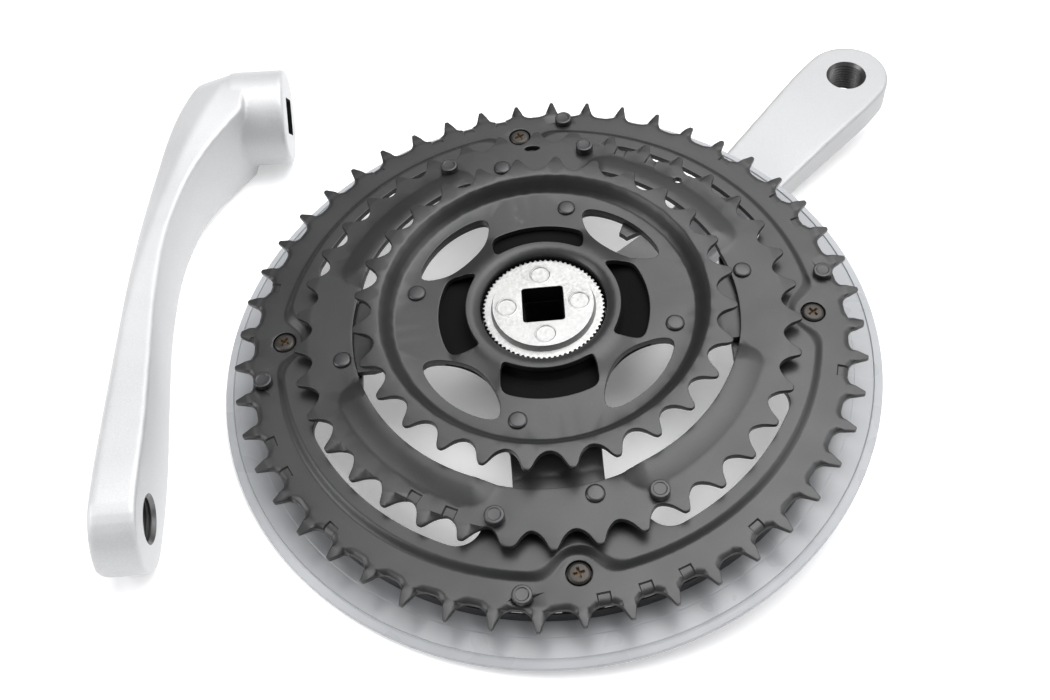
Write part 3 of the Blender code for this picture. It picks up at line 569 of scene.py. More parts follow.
# a lighter copy of the smoke for the guard's sloping rim: painted light
SMOKE_LIT_RIM = smoke_material("smoke_plastic_lit_rim_look", (0.42, 0.43, 0.45), (0.48, 0.49, 0.51))


def add_black_plate(name, bm, node):
    return add_piece(name, bm, E_COAT, RING, "drive_side", node)


def repaint(piece, mat, wanted):
    """Give a second material to the faces whose middle and normal, in the ring frame, are wanted."""
    piece.data.materials.append(mat)
    to_ring = RING.inverted()
    for face in piece.data.polygons:
        spot = to_ring @ face.center
        normal = to_ring.to_3x3() @ face.normal
        if wanted(math.hypot(spot.x, spot.y) / MM, spot.z / MM, normal.z):
            face.material_index = len(piece.data.materials) - 1


# ---------- teeth, pockets and holes
def pitch_radius(teeth):
    return CHAIN_PITCH / (2.0 * math.sin(math.pi / teeth))


def toothed(teeth, phase, flank, shapes):
    """Roller seats joined by teeth. shapes can raise, widen or lean single teeth."""
    root = pitch_radius(teeth) - ROLLER_SEAT
    tallest = flank[0][0]
    points = []
    for tooth in range(teeth):
        tip = phase + 360.0 / teeth * tooth
        rise, widen, lean = shapes.get(tooth, (0.0, 1.0, 0.0))
        rows = [(-1.0, row) for row in reversed(flank)] + [(1.0, row) for row in flank]
        for side, (height, half) in rows:
            share = height / tallest
            at = root + height + rise * share
            across = side * half * (1.0 + (widen - 1.0) * share) - lean * share * share
            points.append(polar(at, tip + math.degrees(across / at)))
    return points


def around(centre, x, y):
    """Distance along the circle from a direction, in mm."""
    away = (math.degrees(math.atan2(y, x)) - centre + 180.0) % 360.0 - 180.0
    return math.radians(away) * math.hypot(x, y)


def sector(centre, low, high, start, end):
    """A patch that follows the circle, from one radius to another."""
    radii = [start + (end - start) * k / 4 for k in range(5)]
    left = [polar(radius, centre + math.degrees(low / radius)) for radius in radii]
    right = [polar(radius, centre + math.degrees(high / radius)) for radius in reversed(radii)]
    return left + right


def twins(teeth, chosen):
    """The tooth numbers of both halves of a ring, which repeats after half a turn."""
    return tuple((k + half) % teeth for half in (0, teeth // 2) for k in chosen)


def twin_shapes(teeth, shapes):
    return {k: shape for tooth, shape in shapes.items() for k in twins(teeth, (tooth,))}


def pocket_loops(pockets, start):
    return [sector(centre, -POCKET_HALF - grow, POCKET_HALF + grow, start - grow, start + 5.0)
            for centre in pockets for grow in (0.0, POCKET_RIM)]


def pocket_depth(pockets, start, x, y):
    r = math.hypot(x, y)
    if r < start - 0.5:
        return 0.0
    across = min(abs(around(c, x, y)) for c in pockets)
    share = (1.0 - ramp(across, POCKET_HALF, POCKET_HALF + POCKET_RIM)) * ramp(r, start - POCKET_RIM, start)
    return POCKET_DEPTH * share


def bevel_loops(teeth, phase, chosen):
    root = pitch_radius(teeth) - ROLLER_SEAT
    return [sector(phase + 360.0 / teeth * k, low, 6.0, root + 0.3, root + 7.0)
            for k in chosen for low in (BEVEL_EDGE, 1.3)]


def bevel_depth(teeth, phase, chosen, x, y):
    root = pitch_radius(teeth) - ROLLER_SEAT
    r = math.hypot(x, y)
    if r < root + 0.1:
        return 0.0
    step = 360.0 / teeth
    k = round((math.degrees(math.atan2(y, x)) - phase) / step) % teeth
    if k not in chosen:
        return 0.0
    across = around(phase + step * k, x, y)
    return BEVEL_DEPTH * ramp(across, BEVEL_EDGE, BEVEL_WIDTH) * ramp(r, root + 0.1, root + 1.0)


def hole_circles(pattern, radius, count):
    return [circle(radius, count, polar(pattern[0], a)) for a in pattern[1]]


def shank_holes(pattern, shank):
    return hole_circles(pattern, shank + SHANK_CLEARANCE, 20)


def rings_of(radii, count):
    return [circle(r, count) for r in radii]


def nearest(pattern, x, y):
    return min(math.hypot(x - polar(pattern[0], a)[0], y - polar(pattern[0], a)[1]) for a in pattern[1])


def tooth_thinning(teeth, radius):
    """How far each face of a plate comes in where its teeth thin out."""
    pitch = pitch_radius(teeth)
    return TOOTH_THINNING * min(1.0, max(0.0, (radius - (pitch - 2.6)) / 4.6))


def blended(a, b, width):
    """The smaller of two values, with a rounded change between them."""
    h = max(width - abs(a - b), 0.0) / width
    return min(a, b) - h * h * width * 0.25


# ---------- large ring
LARGE_BEVELS = twins(LARGE_TEETH, LARGE_BEVELLED)


def large_depth(x, y):
    """Distance inward from the toe of the raised zone."""
    return blended(LARGE_TOE - math.hypot(x, y), nearest(GUARD_SCREWS, x, y) - SCREW_FLAT, SCREW_BLEND)


def large_raise(x, y):
    return LARGE_RAISE * ramp(large_depth(x, y), 0.0, LARGE_SLOPE)


def large_top(x, y):
    height = large_raise(x, y)
    height -= pocket_depth(LARGE_POCKETS, LARGE_POCKET_START, x, y)
    height -= bevel_depth(LARGE_TEETH, LARGE_PHASE, LARGE_BEVELS, x, y)
    return height - tooth_thinning(LARGE_TEETH, math.hypot(x, y))


def contour(depth):
    """The loop on which the raised zone has one depth."""
    loop = []
    for step in range(360):
        low, high = 66.0, LARGE_TOE + 1.0
        for _ in range(18):
            middle = (low + high) / 2.0
            if large_depth(*polar(middle, step)) > depth:
                low = middle
            else:
                high = middle
        loop.append(polar(low, step))
    return loop


def large_under(x, y):
    return large_raise(x, y) + tooth_thinning(LARGE_TEETH, math.hypot(x, y)) - PLATE


def large_bore():
    """The windows, and between them the tabs that the rivets go through."""
    points = []
    fillet_centre = WINDOW_RADIUS - WINDOW_FILLET
    corner = math.degrees(math.asin(WINDOW_FILLET / fillet_centre))
    for centre, half in sorted((c % 360.0, h) for c, h in WINDOWS):
        start, end = centre - half, centre + half
        points.append(polar(TAB_END, start))
        points += arc(WINDOW_FILLET, start - 90.0, start + corner, 10, polar(fillet_centre, start + corner))
        points += arc(WINDOW_RADIUS, start + corner, end - corner, 30)[1:-1]
        points += arc(WINDOW_FILLET, end - corner, end + 90.0, 10, polar(fillet_centre, end - corner))
        points.append(polar(TAB_END, end))
    return points


guides = [contour(LARGE_SLOPE * share) for share in (-0.05, 0.08, 0.2, 0.35, 0.5, 0.65, 0.8, 0.92, 1.05)]
guides += rings_of((LARGE_GUIDE,), 144)
guides += pocket_loops(LARGE_POCKETS, LARGE_POCKET_START)
guides += bevel_loops(LARGE_TEETH, LARGE_PHASE, LARGE_BEVELS)
holes = [large_bore()]
holes += hole_circles(GUARD_SCREWS, SCREW_HEAD + SHANK_CLEARANCE, 32)
holes += shank_holes(LARGE_PINS, PIN_SHANK)
holes += shank_holes(MIDDLE_RIVETS, RIVET_SHANK)
outline = toothed(LARGE_TEETH, LARGE_PHASE, LARGE_FLANK, twin_shapes(LARGE_TEETH, LARGE_SHIFT_TEETH))
plate = plate_bm(outline, holes, guides, large_top, large_under, roll=LARGE_ROLL_BAND)
add_black_plate("large_chainring", plate, "chainring_large")


# ---------- middle ring
MIDDLE_BEVELS = twins(MIDDLE_TEETH, MIDDLE_BEVELLED)


def band_rise(x, y):
    """0 on the flat and 1 on the crest of a raised band."""
    r = math.hypot(x, y)
    best = 0.0
    for centre in BAND_CENTRES:
        away = (math.degrees(math.atan2(y, x)) - centre + 180.0) % 360.0 - 180.0
        along = max(0.0, abs(math.radians(away) * BAND_CREST) - BAND_HALF_LENGTH)
        best = max(best, 1.0 - math.hypot(along, max(0.0, r - BAND_CREST)) / BAND_SLOPE)
    return best * (2.0 - best) * 0.45 + best * 0.55


def band_loop(centre, margin):
    """A line round one band, at a distance from its crest."""
    reach = math.degrees(BAND_HALF_LENGTH / BAND_CREST)
    inner = MIDDLE_BORE - 1.5

    def corner(side, turn):
        out, along = margin * math.sin(math.radians(turn)), margin * math.cos(math.radians(turn))
        return polar(BAND_CREST + out, centre + side * (reach + math.degrees(along / BAND_CREST)))

    end = reach + math.degrees(margin / BAND_CREST)
    points = [polar(inner, centre - end)] + [corner(-1.0, 15.0 * k) for k in range(7)]
    points += arc(BAND_CREST + margin, centre - reach, centre + reach, 24)[1:-1]
    return points + [corner(1.0, 90.0 - 15.0 * k) for k in range(7)] + [polar(inner, centre + end)]


def middle_raise(x, y):
    return MIDDLE_TOP + BAND_HEIGHT * band_rise(x, y)


def middle_top(x, y):
    height = middle_raise(x, y) - tooth_thinning(MIDDLE_TEETH, math.hypot(x, y))
    height -= pocket_depth(MIDDLE_POCKETS, MIDDLE_POCKET_START, x, y)
    return height - bevel_depth(MIDDLE_TEETH, MIDDLE_PHASE, MIDDLE_BEVELS, x, y)


def middle_under(x, y):
    return middle_raise(x, y) + tooth_thinning(MIDDLE_TEETH, math.hypot(x, y)) - PLATE


def oval(radius, angle, half_length, half_width):
    return turned([(radius + x * half_width, y * half_length) for x, y in circle(1.0, 24)], angle)


guides = [band_loop(c, m) for c in BAND_CENTRES for m in (0.0, 1.4, 2.8, 4.2, 5.6, 7.0)]
guides += rings_of((MIDDLE_GUIDE,), 120)
guides += pocket_loops(MIDDLE_POCKETS, MIDDLE_POCKET_START)
guides += bevel_loops(MIDDLE_TEETH, MIDDLE_PHASE, MIDDLE_BEVELS)
holes = [circle(MIDDLE_BORE, 144)] + [oval(*vent) for vent in MIDDLE_VENTS]
holes += shank_holes(MIDDLE_PINS, PIN_SHANK)
holes += shank_holes(MIDDLE_RIVETS, RIVET_SHANK)
outline = toothed(MIDDLE_TEETH, MIDDLE_PHASE, MIDDLE_FLANK, twin_shapes(MIDDLE_TEETH, MIDDLE_SHIFT_TEETH))
plate = plate_bm(outline, holes, guides, middle_top, middle_under)
add_black_plate("middle_chainring", plate, "chainring_middle")


# ---------- small ring
def softened(points, rounds):
    """Round the corners of a closed loop by averaging neighbours."""
    loop = np.array(points)
    for _ in range(rounds):
        loop = (np.roll(loop, 1, axis=0) + np.roll(loop, -1, axis=0) + 2.0 * loop) / 4.0
    return loop


def lens(centre, grow=0.0):
    """An opening between two arcs on one chord, with softened ends."""
    points = []
    for depth, outward in ((LENS_OUTWARD + grow, 1.0), (LENS_INWARD + grow, -1.0)):
        chord = LENS_HALF_CHORD + grow
        radius = (chord ** 2 + depth ** 2) / (2.0 * depth)
        half = math.degrees(math.asin(chord / radius))
        middle_x = LENS_CHORD_RADIUS + outward * (depth - radius)
        face = 0.0 if outward > 0 else 180.0
        points.extend(arc(radius, face - half, face + half, 22, (middle_x, 0.0))[:-1])
    points = [tuple(p) for p in softened(points, 8)]
    return turned(points, centre)


def crown_slot(centre):
    inner_half = math.degrees(math.asin((SLOT_HALF_WIDTH - 1.0) / SLOT_INNER))
    outer_half = math.degrees(math.asin(SLOT_HALF_WIDTH / SLOT_OUTER))
    outer = arc(SLOT_OUTER, -outer_half, outer_half, 30)
    inner = arc(SLOT_INNER, inner_half, -inner_half, 30)
    points = outer + between(outer[-1], inner[0], 6) + inner + between(inner[-1], outer[0], 6)
    return turned([tuple(p) for p in softened(points, 5)], centre)


def small_top(x, y):
    r = math.hypot(x, y)
    crown = (CROWN_TOP - DISH_TOP) * (1.0 - ramp(r, CROWN_OUTER - 1.5, LEG_FOOT + 1.5))
    if r < COLLAR_CREST:
        crown -= COLLAR_DROP * ((COLLAR_CREST - r) / (COLLAR_CREST - CROWN_BORE)) ** 2
    dish = (SMALL_TOP - DISH_TOP) * ramp(r, DISH_INNER - 0.4, DISH_OUTER + 0.6)
    return DISH_TOP + crown + dish - tooth_thinning(SMALL_TEETH, r)


def small_under(x, y):
    return small_top(x, y) + 2.0 * tooth_thinning(SMALL_TEETH, math.hypot(x, y)) - PLATE


# loops that follow the collar, the legs and the dish's wall
guides = rings_of((20.2, 21.0, 21.8, 22.6, 23.6, 24.9, 26.4, 27.9, 29.4, 30.9, 33.0), 120)
guides += rings_of((45.9, 46.9, 47.9, 48.9, 49.9, 50.8), 120)
holes = [circle(CROWN_BORE, 72)]
holes += [lens(LENS_CENTRE + 90.0 * k) for k in range(4)]
holes += [crown_slot(SLOT_CENTRE + 90.0 * k) for k in range(4)]
holes += shank_holes(SMALL_RIVETS, RIVET_SHANK)
outline = toothed(SMALL_TEETH, SMALL_PHASE, SMALL_FLANK, {})
plate = plate_bm(outline, holes, guides, small_top, small_under)
add_black_plate("small_chainring", plate, "chainring_small")


# ---------- spider
def tabbed(points):
    """A small square tab standing into the opening from its outer edge."""
    out = []
    for x, y in points:
        angle, radius = math.degrees(math.atan2(y, x)), math.hypot(x, y)
        if TAB_SECTOR[0] < angle < TAB_SECTOR[1] and radius > LENS_CHORD_RADIUS:
            radius -= TAB_LENGTH
        out.append(polar(radius, angle))
    return out


def spider_top(x, y):
    disc = DISH_TOP - PLATE - GAP
    arm = MIDDLE_TOP - PLATE - GAP
    sleeve = CROWN_TOP - PLATE - GAP
    r = math.hypot(x, y)
    if r < SPIDER_STEP_START:
        return disc + (sleeve - disc) * (1.0 - ramp(r, SLEEVE_RADIUS - 0.6, SLEEVE_RADIUS + 0.9))
    return disc + (arm - disc) * ramp(r, SPIDER_STEP_START, SPIDER_STEP_END)


def spider_under(x, y):
    return min(spider_top(x, y), DISH_TOP - PLATE - GAP) - PLATE


def spider_outline():
    root = math.degrees(math.asin(SPIDER_ARM_HALF_WIDTH / SPIDER_RADIUS))
    tip = math.degrees(math.asin(SPIDER_ARM_HALF_WIDTH / SPIDER_ARM_END))
    points = []
    for k in range(4):
        centre = SPIDER_ARM_CENTRE + 90.0 * k
        rise = [(SPIDER_STEP_START + 1.0, -SPIDER_ARM_HALF_WIDTH), (SPIDER_STEP_END, -SPIDER_ARM_HALF_WIDTH)]
        fall = [(x, -y) for x, y in reversed(rise)]
        points += turned(rise + arc(SPIDER_ARM_END, -tip, tip, 14) + fall, centre)
        points += arc(SPIDER_RADIUS, centre + root + 1.5, centre + 90.0 - root - 1.5, 28)
    return points


# loops that follow the sleeve, the edge of the painted shade in the well and the arms' step
guides = rings_of((23.2, 23.8, 24.4, 25.0, WELL_SHADE_RADIUS), 96)
guides += rings_of((SPIDER_STEP_START, 49.2, 51.2, 53.2, SPIDER_STEP_END), 96)
holes = [circle(SPIDER_BORE, 72), tabbed(lens(LENS_CENTRE, LENS_MARGIN))]
holes += [lens(LENS_CENTRE + 90.0 * k, LENS_MARGIN) for k in range(1, 4)]
holes += shank_holes(SMALL_RIVETS, RIVET_SHANK)
holes += shank_holes(MIDDLE_RIVETS, RIVET_SHANK)
plate = plate_bm(spider_outline(), holes, guides, spider_top, spider_under)
spider = add_black_plate("spider_plate", plate, "spider")
# the spider's middle, under the small ring's slots, is painted near-black: painted shade
repaint(spider, SHADE, lambda radius, height, up: radius < WELL_SHADE_RADIUS)


# ---------- chain guard
def guard_bore():
    """The bore, with a lug at each screw."""
    distance, angles = GUARD_SCREWS
    root = math.degrees(math.asin(GUARD_LUG_HALF_WIDTH / GUARD_BORE))
    points = []
    for i, angle in enumerate(angles):
        following = angles[(i + 1) % 4] + (360.0 if i == 3 else 0.0)
        nose = arc(GUARD_LUG_HALF_WIDTH, 270.0, 90.0, 16, (GUARD_LUG_END + GUARD_LUG_HALF_WIDTH, 0.0))
        points += turned(nose, angle)
        points += arc(GUARD_BORE, angle + root, following - root, 48)
    return points


def guard_top(x, y):
    """A lip along the inner edge, a web with a faint step, a ridge line and a sloping rim."""
    r = math.hypot(x, y)
    lip = 1.0 - ramp(r, GUARD_BORE + GUARD_LIP_WIDTH, GUARD_BORE + GUARD_LIP_WIDTH + 0.5)
    web = GUARD_TOP - 0.35 * ramp(r, GUARD_STEP_LINE - 0.25, GUARD_STEP_LINE + 0.25)
    ridge = 0.45 * max(0.0, 1.0 - abs(r - GUARD_LINE) / 0.35)
    rim = min(1.0, max(0.0, (r - GUARD_LINE - 0.3) / (GUARD_RADIUS - GUARD_LINE)))
    base = web + ridge + (GUARD_RIM_TOP - GUARD_TOP) * rim + (GUARD_LIP_TOP - GUARD_TOP) * lip
    post = 1.0 - ramp(nearest(GUARD_SCREWS, x, y), GUARD_POST_RADIUS - 0.2, GUARD_POST_RADIUS + 0.3)
    return base + (-PLATE - GAP - base) * post


def guard_under(x, y):
    web = GUARD_TOP - GUARD_WEB
    rim = ramp(math.hypot(x, y), GUARD_LINE + 0.2, GUARD_LINE + 0.8)
    return web + (GUARD_RIM_BOTTOM - web) * rim


guides = rings_of([GUARD_BORE + GUARD_LIP_WIDTH + past for past in (0.0, 0.25, 0.5)], 180)
guides += rings_of([GUARD_STEP_LINE + past for past in (-0.25, 0.0, 0.25)], 180)
guides += rings_of([GUARD_LINE + past for past in (-0.3, 0.0, 0.3, 0.9)], 180)
for past in (-0.2, 0.05, 0.3):
    guides += hole_circles(GUARD_SCREWS, GUARD_POST_RADIUS + past, 28)
holes = [guard_bore()] + shank_holes(GUARD_SCREWS, SCREW_SHANK)
outline = circle(GUARD_RADIUS, 240)
plate = plate_bm(outline, holes, guides, guard_top, guard_under, 0.4)
guard = add_piece("guard_ring", plate, SMOKE, RING, "drive_side", "chain_guard")
# the rim takes the lighter smoke: painted light
repaint(guard, SMOKE_LIT_RIM, lambda radius, height, up: radius > GUARD_LINE)
# the guard's lip under the ring is painted dark: painted shade
repaint(guard, PAINTED_SHADE_LIP, lambda radius, height, up: radius < GUARD_BORE + GUARD_LIP_WIDTH + 0.6)


# ---------- fasteners
def spot_on_ring(radius, angle):
    return RING @ Matrix.Translation(Vector((*polar(radius, angle), 0.0)) * MM)


def fasteners(name, pattern, profile):
    for i, angle in enumerate(pattern[1]):
        node = "%s_%d" % (name, i + 1)
        add_piece(node + "_look", turned_bm(profile, 40), STEEL, spot_on_ring(pattern[0], angle),
                   "drive_side", node, 50)


def rivet_profile(top, bottom):
    head, foot = top + GAP * 0.2, bottom - GAP
    body = [(0.0, foot - 1.0), (RIVET_HEAD - 0.5, foot - 1.0), (RIVET_HEAD, foot), (RIVET_SHANK, foot),
            (RIVET_SHANK, head), (RIVET_HEAD, head), (RIVET_HEAD - 0.1, head + 0.55),
            (RIVET_HEAD - 0.7, head + 0.85), (0.0, head + 0.95)]
    return rounded(body, 0.25, 3)


def pin_profile(top, height):
    foot, head, end = top - PLATE - GAP, top + GAP * 0.2, top + GAP * 0.2 + height
    body = [(0.0, foot - 0.5), (PIN_SHANK + 0.6, foot - 0.5), (PIN_SHANK + 0.6, foot), (PIN_SHANK, foot),
            (PIN_SHANK, head), (PIN_HEAD, head), (PIN_HEAD, end), (PIN_HEAD - 0.9, end + 0.05),
            (PIN_HEAD - 1.1, end - 0.12), (0.0, end - 0.1)]
    return rounded(body, 0.35, 4)


def screw_profile():
    body = [(0.0, SCREW_TIP), (SCREW_SHANK, SCREW_TIP), (SCREW_SHANK, GAP - PLATE), (SCREW_HEAD, GAP - PLATE),
            (SCREW_HEAD, -0.25), (SCREW_HEAD - 0.7, 0.25), (1.2, 0.32), (0.0, 0.32)]
    return rounded(body, 0.3, 4)


fasteners("small_ring_rivet", SMALL_RIVETS, rivet_profile(DISH_TOP, DISH_TOP - 2.0 * PLATE - GAP))
fasteners("middle_ring_rivet", MIDDLE_RIVETS, rivet_profile(MIDDLE_TOP, LARGE_RAISE - PLATE))
fasteners("large_ring_shift_pin", LARGE_PINS, pin_profile(0.0, LARGE_PIN_HEIGHT))
fasteners("middle_ring_shift_pin", MIDDLE_PINS, pin_profile(MIDDLE_TOP, MIDDLE_PIN_HEIGHT))


# ---------- crank arms
def corner_rounded(points, radii, count):
    """Round each corner of a closed polygon. Every corner gives the same number of points."""
    out = []
    for i in range(len(points)):
        a, b, c = Vector(points[i - 1]), Vector(points[i]), Vector(points[(i + 1) % len(points)])
        reach = min(radii[i], (a - b).length * 0.48, (c - b).length * 0.48)
        p, q = b + (a - b).normalized() * reach, b + (c - b).normalized() * reach
        for k in range(count):
            t = k / (count - 1)
            out.append(p * (1 - t) ** 2 + b * 2 * t * (1 - t) + q * t * t)
    return out


def arm_section(s):
    """The arm's outline at one distance from the boss's axis."""
    side = curve_at(ARM_SIDE, s)
    if s < 0.0:
        side = math.sqrt(max(SWEEP_RADIUS ** 2 - s ** 2, 0.6))
    if s > ARM_LENGTH:
        side = math.sqrt(max(EYE_RADIUS ** 2 - (s - ARM_LENGTH) ** 2, 0.4))
    inner, outer, facet = curve_at(ARM_INNER, s), curve_at(ARM_OUTER, s), curve_at(ARM_FACET, s)
    edge = min(1.5, side * 0.4)
    bevel = min(curve_at(FACET_WIDTH, s), side * 0.6)
    half = [(side - edge * 0.4, inner), (side, inner + edge * 0.4), (side, facet), (side - bevel, outer)]
    radii = [0.9, 0.9, 1.6, 1.8]
    points = half + [(-y, q) for y, q in reversed(half)]
    return corner_rounded(points, radii + list(reversed(radii)), 5)


def arm_bm():
    stations = [-17.15, -16.9, -16.3, -15.2, -13.7, -11.7, -9.1, -6.1, -3.0, 0.0]
    stations += [3.0 + 2.5 * k for k in range(68)]
    stations += [175.5, 178.6, 181.1, 183.2, 184.9, 186.2, 187.1, 187.7, 188.05, 188.18]
    return loft_bm([[(s, p.x, -p.y) for p in arm_section(s)] for s in stations])


def square(half, radius, inset_by, turn=0.0):
    """A square with its corners on the axes before it is turned, and arcs for corners."""
    corner = arc(radius, -45.0, 45.0, 6, (half * DIAGONAL - inset_by, 0.0))
    return [point for k in range(4) for point in turned(corner, 90.0 * k + turn)]


def socket_bm():
    """The square taper as a solid, with a chamfered mouth."""
    rings = []
    for depth in (-2.0, 0.0, 0.7, SOCKET_DEPTH + 1.0):
        half = SOCKET_HALF_WIDTH - SOCKET_TAPER * depth + (0.5 if depth <= 0.0 else 0.0)
        rings.append([(x, y, -depth) for x, y in square(half, 1.2, 1.9)])
    return loft_bm(rings)


def thread_profile(inner_face, outer_face):
    """A tapped hole as a solid: its mouths are chamfered and its wall is grooved."""
    root, crest, mouth = PEDAL_HOLE + THREAD_ROOT, PEDAL_HOLE + THREAD_CREST, PEDAL_HOLE + 0.3
    points = [(0.0, -outer_face - 4.0), (mouth + 4.0, -outer_face - 4.0), (mouth, -outer_face)]
    z = -outer_face + 0.3
    while z < -inner_face - 1.3:
        points += [(root, z), (crest, z + 0.55), (crest, z + 0.7)]
        z += THREAD_PITCH
    return points + [(PEDAL_HOLE + 0.1, -inner_face - 0.3), (mouth, -inner_face),
                     (mouth + 4.0, -inner_face + 4.0), (0.0, -inner_face + 4.0)]


def apply_modifiers(obj):
    graph = bpy.context.evaluated_depsgraph_get()
    done = bpy.data.meshes.new_from_object(obj.evaluated_get(graph))
    old = obj.data
    obj.modifiers.clear()
    obj.data = done
    bpy.data.meshes.remove(old)


def boolean(target, other, operation, materials="INDEX"):
    """Cut or join a tool. TRANSFER gives the cut faces the tool's material."""
    step = target.modifiers.new("cut", "BOOLEAN")
    step.operation = operation
    step.solver = "EXACT"
    step.material_mode = materials
    step.object = other
    apply_modifiers(target)
    bpy.data.objects.remove(other)


def build_arm(name, boss_profile, place, body, node, paint):
    """A forged arm: its bar and boss blended together, then the socket, recess and pedal hole cut."""
    arm = drawn(name, arm_bm())
    boolean(arm, drawn("boss_tool", turned_bm(boss_profile, 96)), "UNION")
    remesh = arm.modifiers.new("blend", "REMESH")
    remesh.mode = "VOXEL"
    remesh.voxel_size = 0.55 * MM
    soften = arm.modifiers.new("soften", "SMOOTH")
    soften.iterations = 8
    soften.factor = 0.5
    apply_modifiers(arm)
    arm.data.materials.append(paint)
    # the square socket's walls take the near-black material: painted shade
    boolean(arm, drawn("socket_tool", socket_bm(), SHADE), "DIFFERENCE", "TRANSFER")
    recess = [(0.0, -60.0), (RECESS_RADIUS, -60.0), (RECESS_RADIUS, -SOCKET_DEPTH), (0.0, -SOCKET_DEPTH)]
    boolean(arm, drawn("recess_tool", turned_bm(recess, 64)), "DIFFERENCE")
    hole = turned_bm(thread_profile(EYE_INNER, EYE_OUTER), 64)
    bmesh.ops.translate(hole, vec=(ARM_LENGTH, 0, 0), verts=hole.verts)
    boolean(arm, drawn("hole_tool", hole, THREAD), "DIFFERENCE", "TRANSFER")
    finish(arm, place, 38, body, node)
    return arm


boss_foot = -BOSS_DEPTH - 3.0
flange_top, flange_bottom = FLANGE_TOP - BOSS_TOP, FLANGE_BOTTOM - BOSS_TOP
plain_boss = rounded([(0.0, boss_foot), (BOSS_RADIUS, boss_foot), (BOSS_RADIUS, 0.0), (0.0, 0.0)], 1.2, 4)
drive_boss = [(0.0, boss_foot), (BOSS_RADIUS, boss_foot), (BOSS_RADIUS, flange_bottom),
              (FLANGE_RADIUS, flange_bottom), (FLANGE_RADIUS, flange_top), (0.0, flange_top)]
build_arm("left_arm_forging", plain_boss, LEFT_ARM, "left_arm", "left_crank_arm", SILVER)
# the right arm takes the darker copy of the silver: painted shade
right_arm = build_arm("right_arm_forging", drive_boss, RIGHT_ARM, "drive_side", "right_crank_arm",
                      PAINTED_SHADE_SILVER)
# the ledge at the socket's mouth is painted near-black: painted shade
repaint(right_arm, SHADE, lambda radius, height, up: radius < SOCKET_SHADE_REACH and height > FLANGE_TOP - 0.6)


# ---------- guard screws
def cross_bm(turn):
    """A tapering cross: the drive recess of a screw, as a solid."""
    rings = []
    for z, arm, wide in ((1.0, 2.0, 0.5), (-0.9, 1.3, 0.3)):
        loop = []
        for k in range(4):
            loop += turned([(arm, -wide), (arm, wide), (wide, wide)], 90.0 * k + turn)
        rings.append([(x, y, z) for x, y in loop])
    return loft_bm(rings)


for i, angle in enumerate(GUARD_SCREWS[1]):
    node = "guard_screw_%d" % (i + 1)
    screw = drawn(node + "_look", turned_bm(screw_profile(), 48), BRONZE)
    boolean(screw, drawn("cross_tool", cross_bm(SCREW_TURNS[i]), RUST), "DIFFERENCE", "TRANSFER")
    finish(screw, spot_on_ring(GUARD_SCREWS[0], angle), 40, "drive_side", node)


# ---------- drive hub: knurled shoulder and cast disc
def knurled_loop(inner, outer):
    points = []
    for k in range(KNURL_TEETH):
        for radius, part in ((inner, -0.22), (outer, 0.0), (outer, 0.28), (inner, 0.5)):
            points.append(polar(radius, 360.0 / KNURL_TEETH * (k + part)))
    return points


def hub_top(x, y):
    """The disc above its shoulder, with four round sunk marks."""
    shoulder = ramp(math.hypot(x, y), DISC_RADIUS - 0.2, DISC_RADIUS + 0.5)
    d = nearest(MARKS, x, y)
    sunk = MARK_DEPTH * (1.0 - ramp(d, MARK_RADIUS, MARK_RADIUS + 0.25))
    lip = MARK_LIP * max(0.0, 1.0 - abs(d - MARK_RADIUS - 0.4) / 0.35)
    dot = MARK_DOT * max(0.0, 1.0 - d / 0.8)
    return BOSS_TOP - (BOSS_TOP - SHOULDER_TOP) * shoulder + (lip + dot - sunk) * (1.0 - shoulder)


guides = rings_of([DISC_RADIUS + past for past in (-0.5, -0.2, 0.1, 0.5, 1.75)], 120)
for size in (0.4, 0.9, 2.6, 2.8, 3.0, 3.15, 3.3, 3.5):
    guides += hole_circles(MARKS, size, 24)
outline = knurled_loop(SHOULDER_RADIUS - KNURL_DEPTH, SHOULDER_RADIUS)
plate = plate_bm(outline, [square(SOCKET_HALF_WIDTH, 0.9, 1.27, ARM_HEADING)], guides, hub_top,
                 lambda x, y: FLANGE_TOP - 0.2, 0.25)
hub = add_piece("right_hub_casting", plate, CAST, RING, "drive_side", "right_crank_arm", 45)
# the walls of the square hole are painted near-black: painted shade
repaint(hub, SHADE, lambda radius, height, up: radius < SOCKET_SHADE_REACH and abs(up) < 0.3)

# ---------- floor, light and camera
FLOOR_HALF = 3.0
corners = [(x * FLOOR_HALF, y * FLOOR_HALF, FLOOR_Z) for x, y in ((-1, -1), (1, -1), (1, 1), (-1, 1))]
floor_mesh = bpy.data.meshes.new("floor")
floor_mesh.from_pydata(corners, [], [(0, 1, 2, 3)])
floor = bpy.data.objects.new("floor", floor_mesh)
bpy.context.scene.collection.objects.link(floor)
floor_mat = bpy.data.materials.new("pale_floor")
floor_tree, floor_shader = nodes_of(floor_mat)
floor_shader.inputs["Base Color"].default_value = (0.86, 0.86, 0.865, 1.0)
floor_shader.inputs["Roughness"].default_value = 0.7
floor_shader.inputs["Emission Color"].default_value = (1.0, 1.0, 1.0, 1.0)
# the floor glows a little, so that it stays white, but less under the small ring, where the lower glow is a
# painted shadow
away = floor_tree.nodes.new("ShaderNodeVectorMath")
away.operation = "DISTANCE"
away.inputs[1].default_value = (0.008, 0.004, FLOOR_Z)
link(floor_tree, floor_tree.nodes.new("ShaderNodeTexCoord").outputs["Object"], away.inputs[0])
glow_with_painted_shadow = spread(floor_tree, away.outputs["Value"], 0.02, 0.05, 0.1, 0.3)
link(floor_tree, glow_with_painted_shadow, floor_shader.inputs["Emission Strength"])
floor_mesh.materials.append(floor_mat)


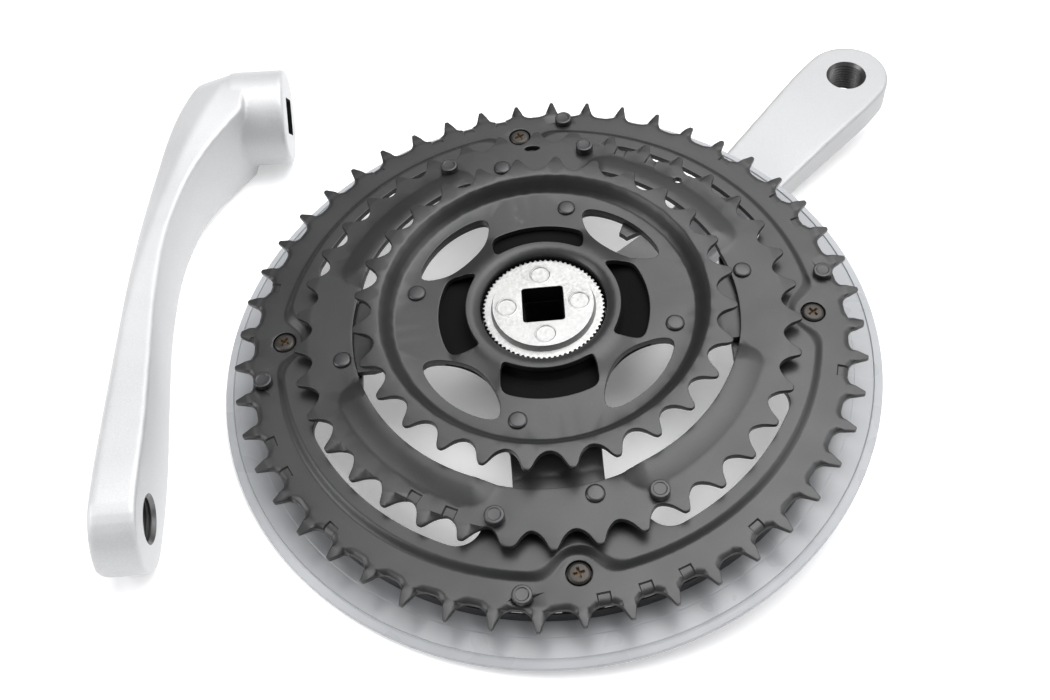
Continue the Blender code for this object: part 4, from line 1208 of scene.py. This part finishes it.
def area_light(name, location, target, size_x, size_y, power):
    """A soft light in metres and watts."""
    data = bpy.data.lights.new(name, "AREA")
    data.shape = "RECTANGLE"
    data.size, data.size_y, data.energy = size_x, size_y, power
    light = bpy.data.objects.new(name, data)
    bpy.context.scene.collection.objects.link(light)
    light.location = location
    light.rotation_euler = (Vector(target) - Vector(location)).to_track_quat("-Z", "Y").to_euler()


area_light("soft_top", (0.2, 0.25, 1.25), (0.0, 0.02, 0.0), 1.2, 1.0, 16.5)
area_light("soft_right", (1.1, -0.25, 0.75), (0.0, 0.0, 0.0), 0.7, 0.8, 3.0)
area_light("soft_left", (-1.1, -0.1, 0.7), (-0.1, 0.0, 0.0), 0.7, 0.9, 8.0)

# a dim room that is bright on one side
BRIGHT_SKY = (0.45, 0.25, 0.86)
DIM_SKY_COLOUR, BRIGHT_SKY_COLOUR = (0.10, 0.10, 0.105, 1.0), (1.25, 1.25, 1.26, 1.0)
world = bpy.data.worlds.new("studio")
bpy.context.scene.world = world
world.use_nodes = True
sky = world.node_tree
back = sky.nodes["Background"]
back.inputs["Strength"].default_value = 1.0
ray = sky.nodes.new("ShaderNodeTexCoord").outputs["Generated"]
lean = sky.nodes.new("ShaderNodeVectorMath")
lean.operation = "DOT_PRODUCT"
lean.inputs[1].default_value = BRIGHT_SKY
link(sky, ray, lean.inputs[0])
level = spread(sky, lean.outputs["Value"], 0.55, 0.95, 0.0, 1.0)
shade = sky.nodes.new("ShaderNodeValToRGB")
shade.color_ramp.elements[0].position = 0.0
shade.color_ramp.elements[0].color = DIM_SKY_COLOUR
shade.color_ramp.elements[1].position = 1.0
shade.color_ramp.elements[1].color = BRIGHT_SKY_COLOUR
link(sky, level, shade.inputs["Fac"])
link(sky, shade.outputs["Color"], back.inputs["Color"])

# the photo's view: the camera's axes in columns and its place in the last one
CAMERA_POSE = Matrix((
    (0.993246, 0.089777, -0.074184, -0.033309),
    (-0.116448, 0.773436, -0.623107, -0.233542),
    (0.001442, 0.627511, 0.778624, 0.270098),
    (0.0, 0.0, 0.0, 1.0)))
CAMERA_LENS, CAMERA_SENSOR = 40.23, 36.0
camera_data = bpy.data.cameras.new("camera")
camera_data.lens = CAMERA_LENS
camera_data.sensor_width = CAMERA_SENSOR
camera = bpy.data.objects.new("camera", camera_data)
bpy.context.scene.collection.objects.link(camera)
camera.matrix_world = CAMERA_POSE
bpy.context.scene.camera = camera
bpy.context.scene.view_settings.view_transform = "Standard"
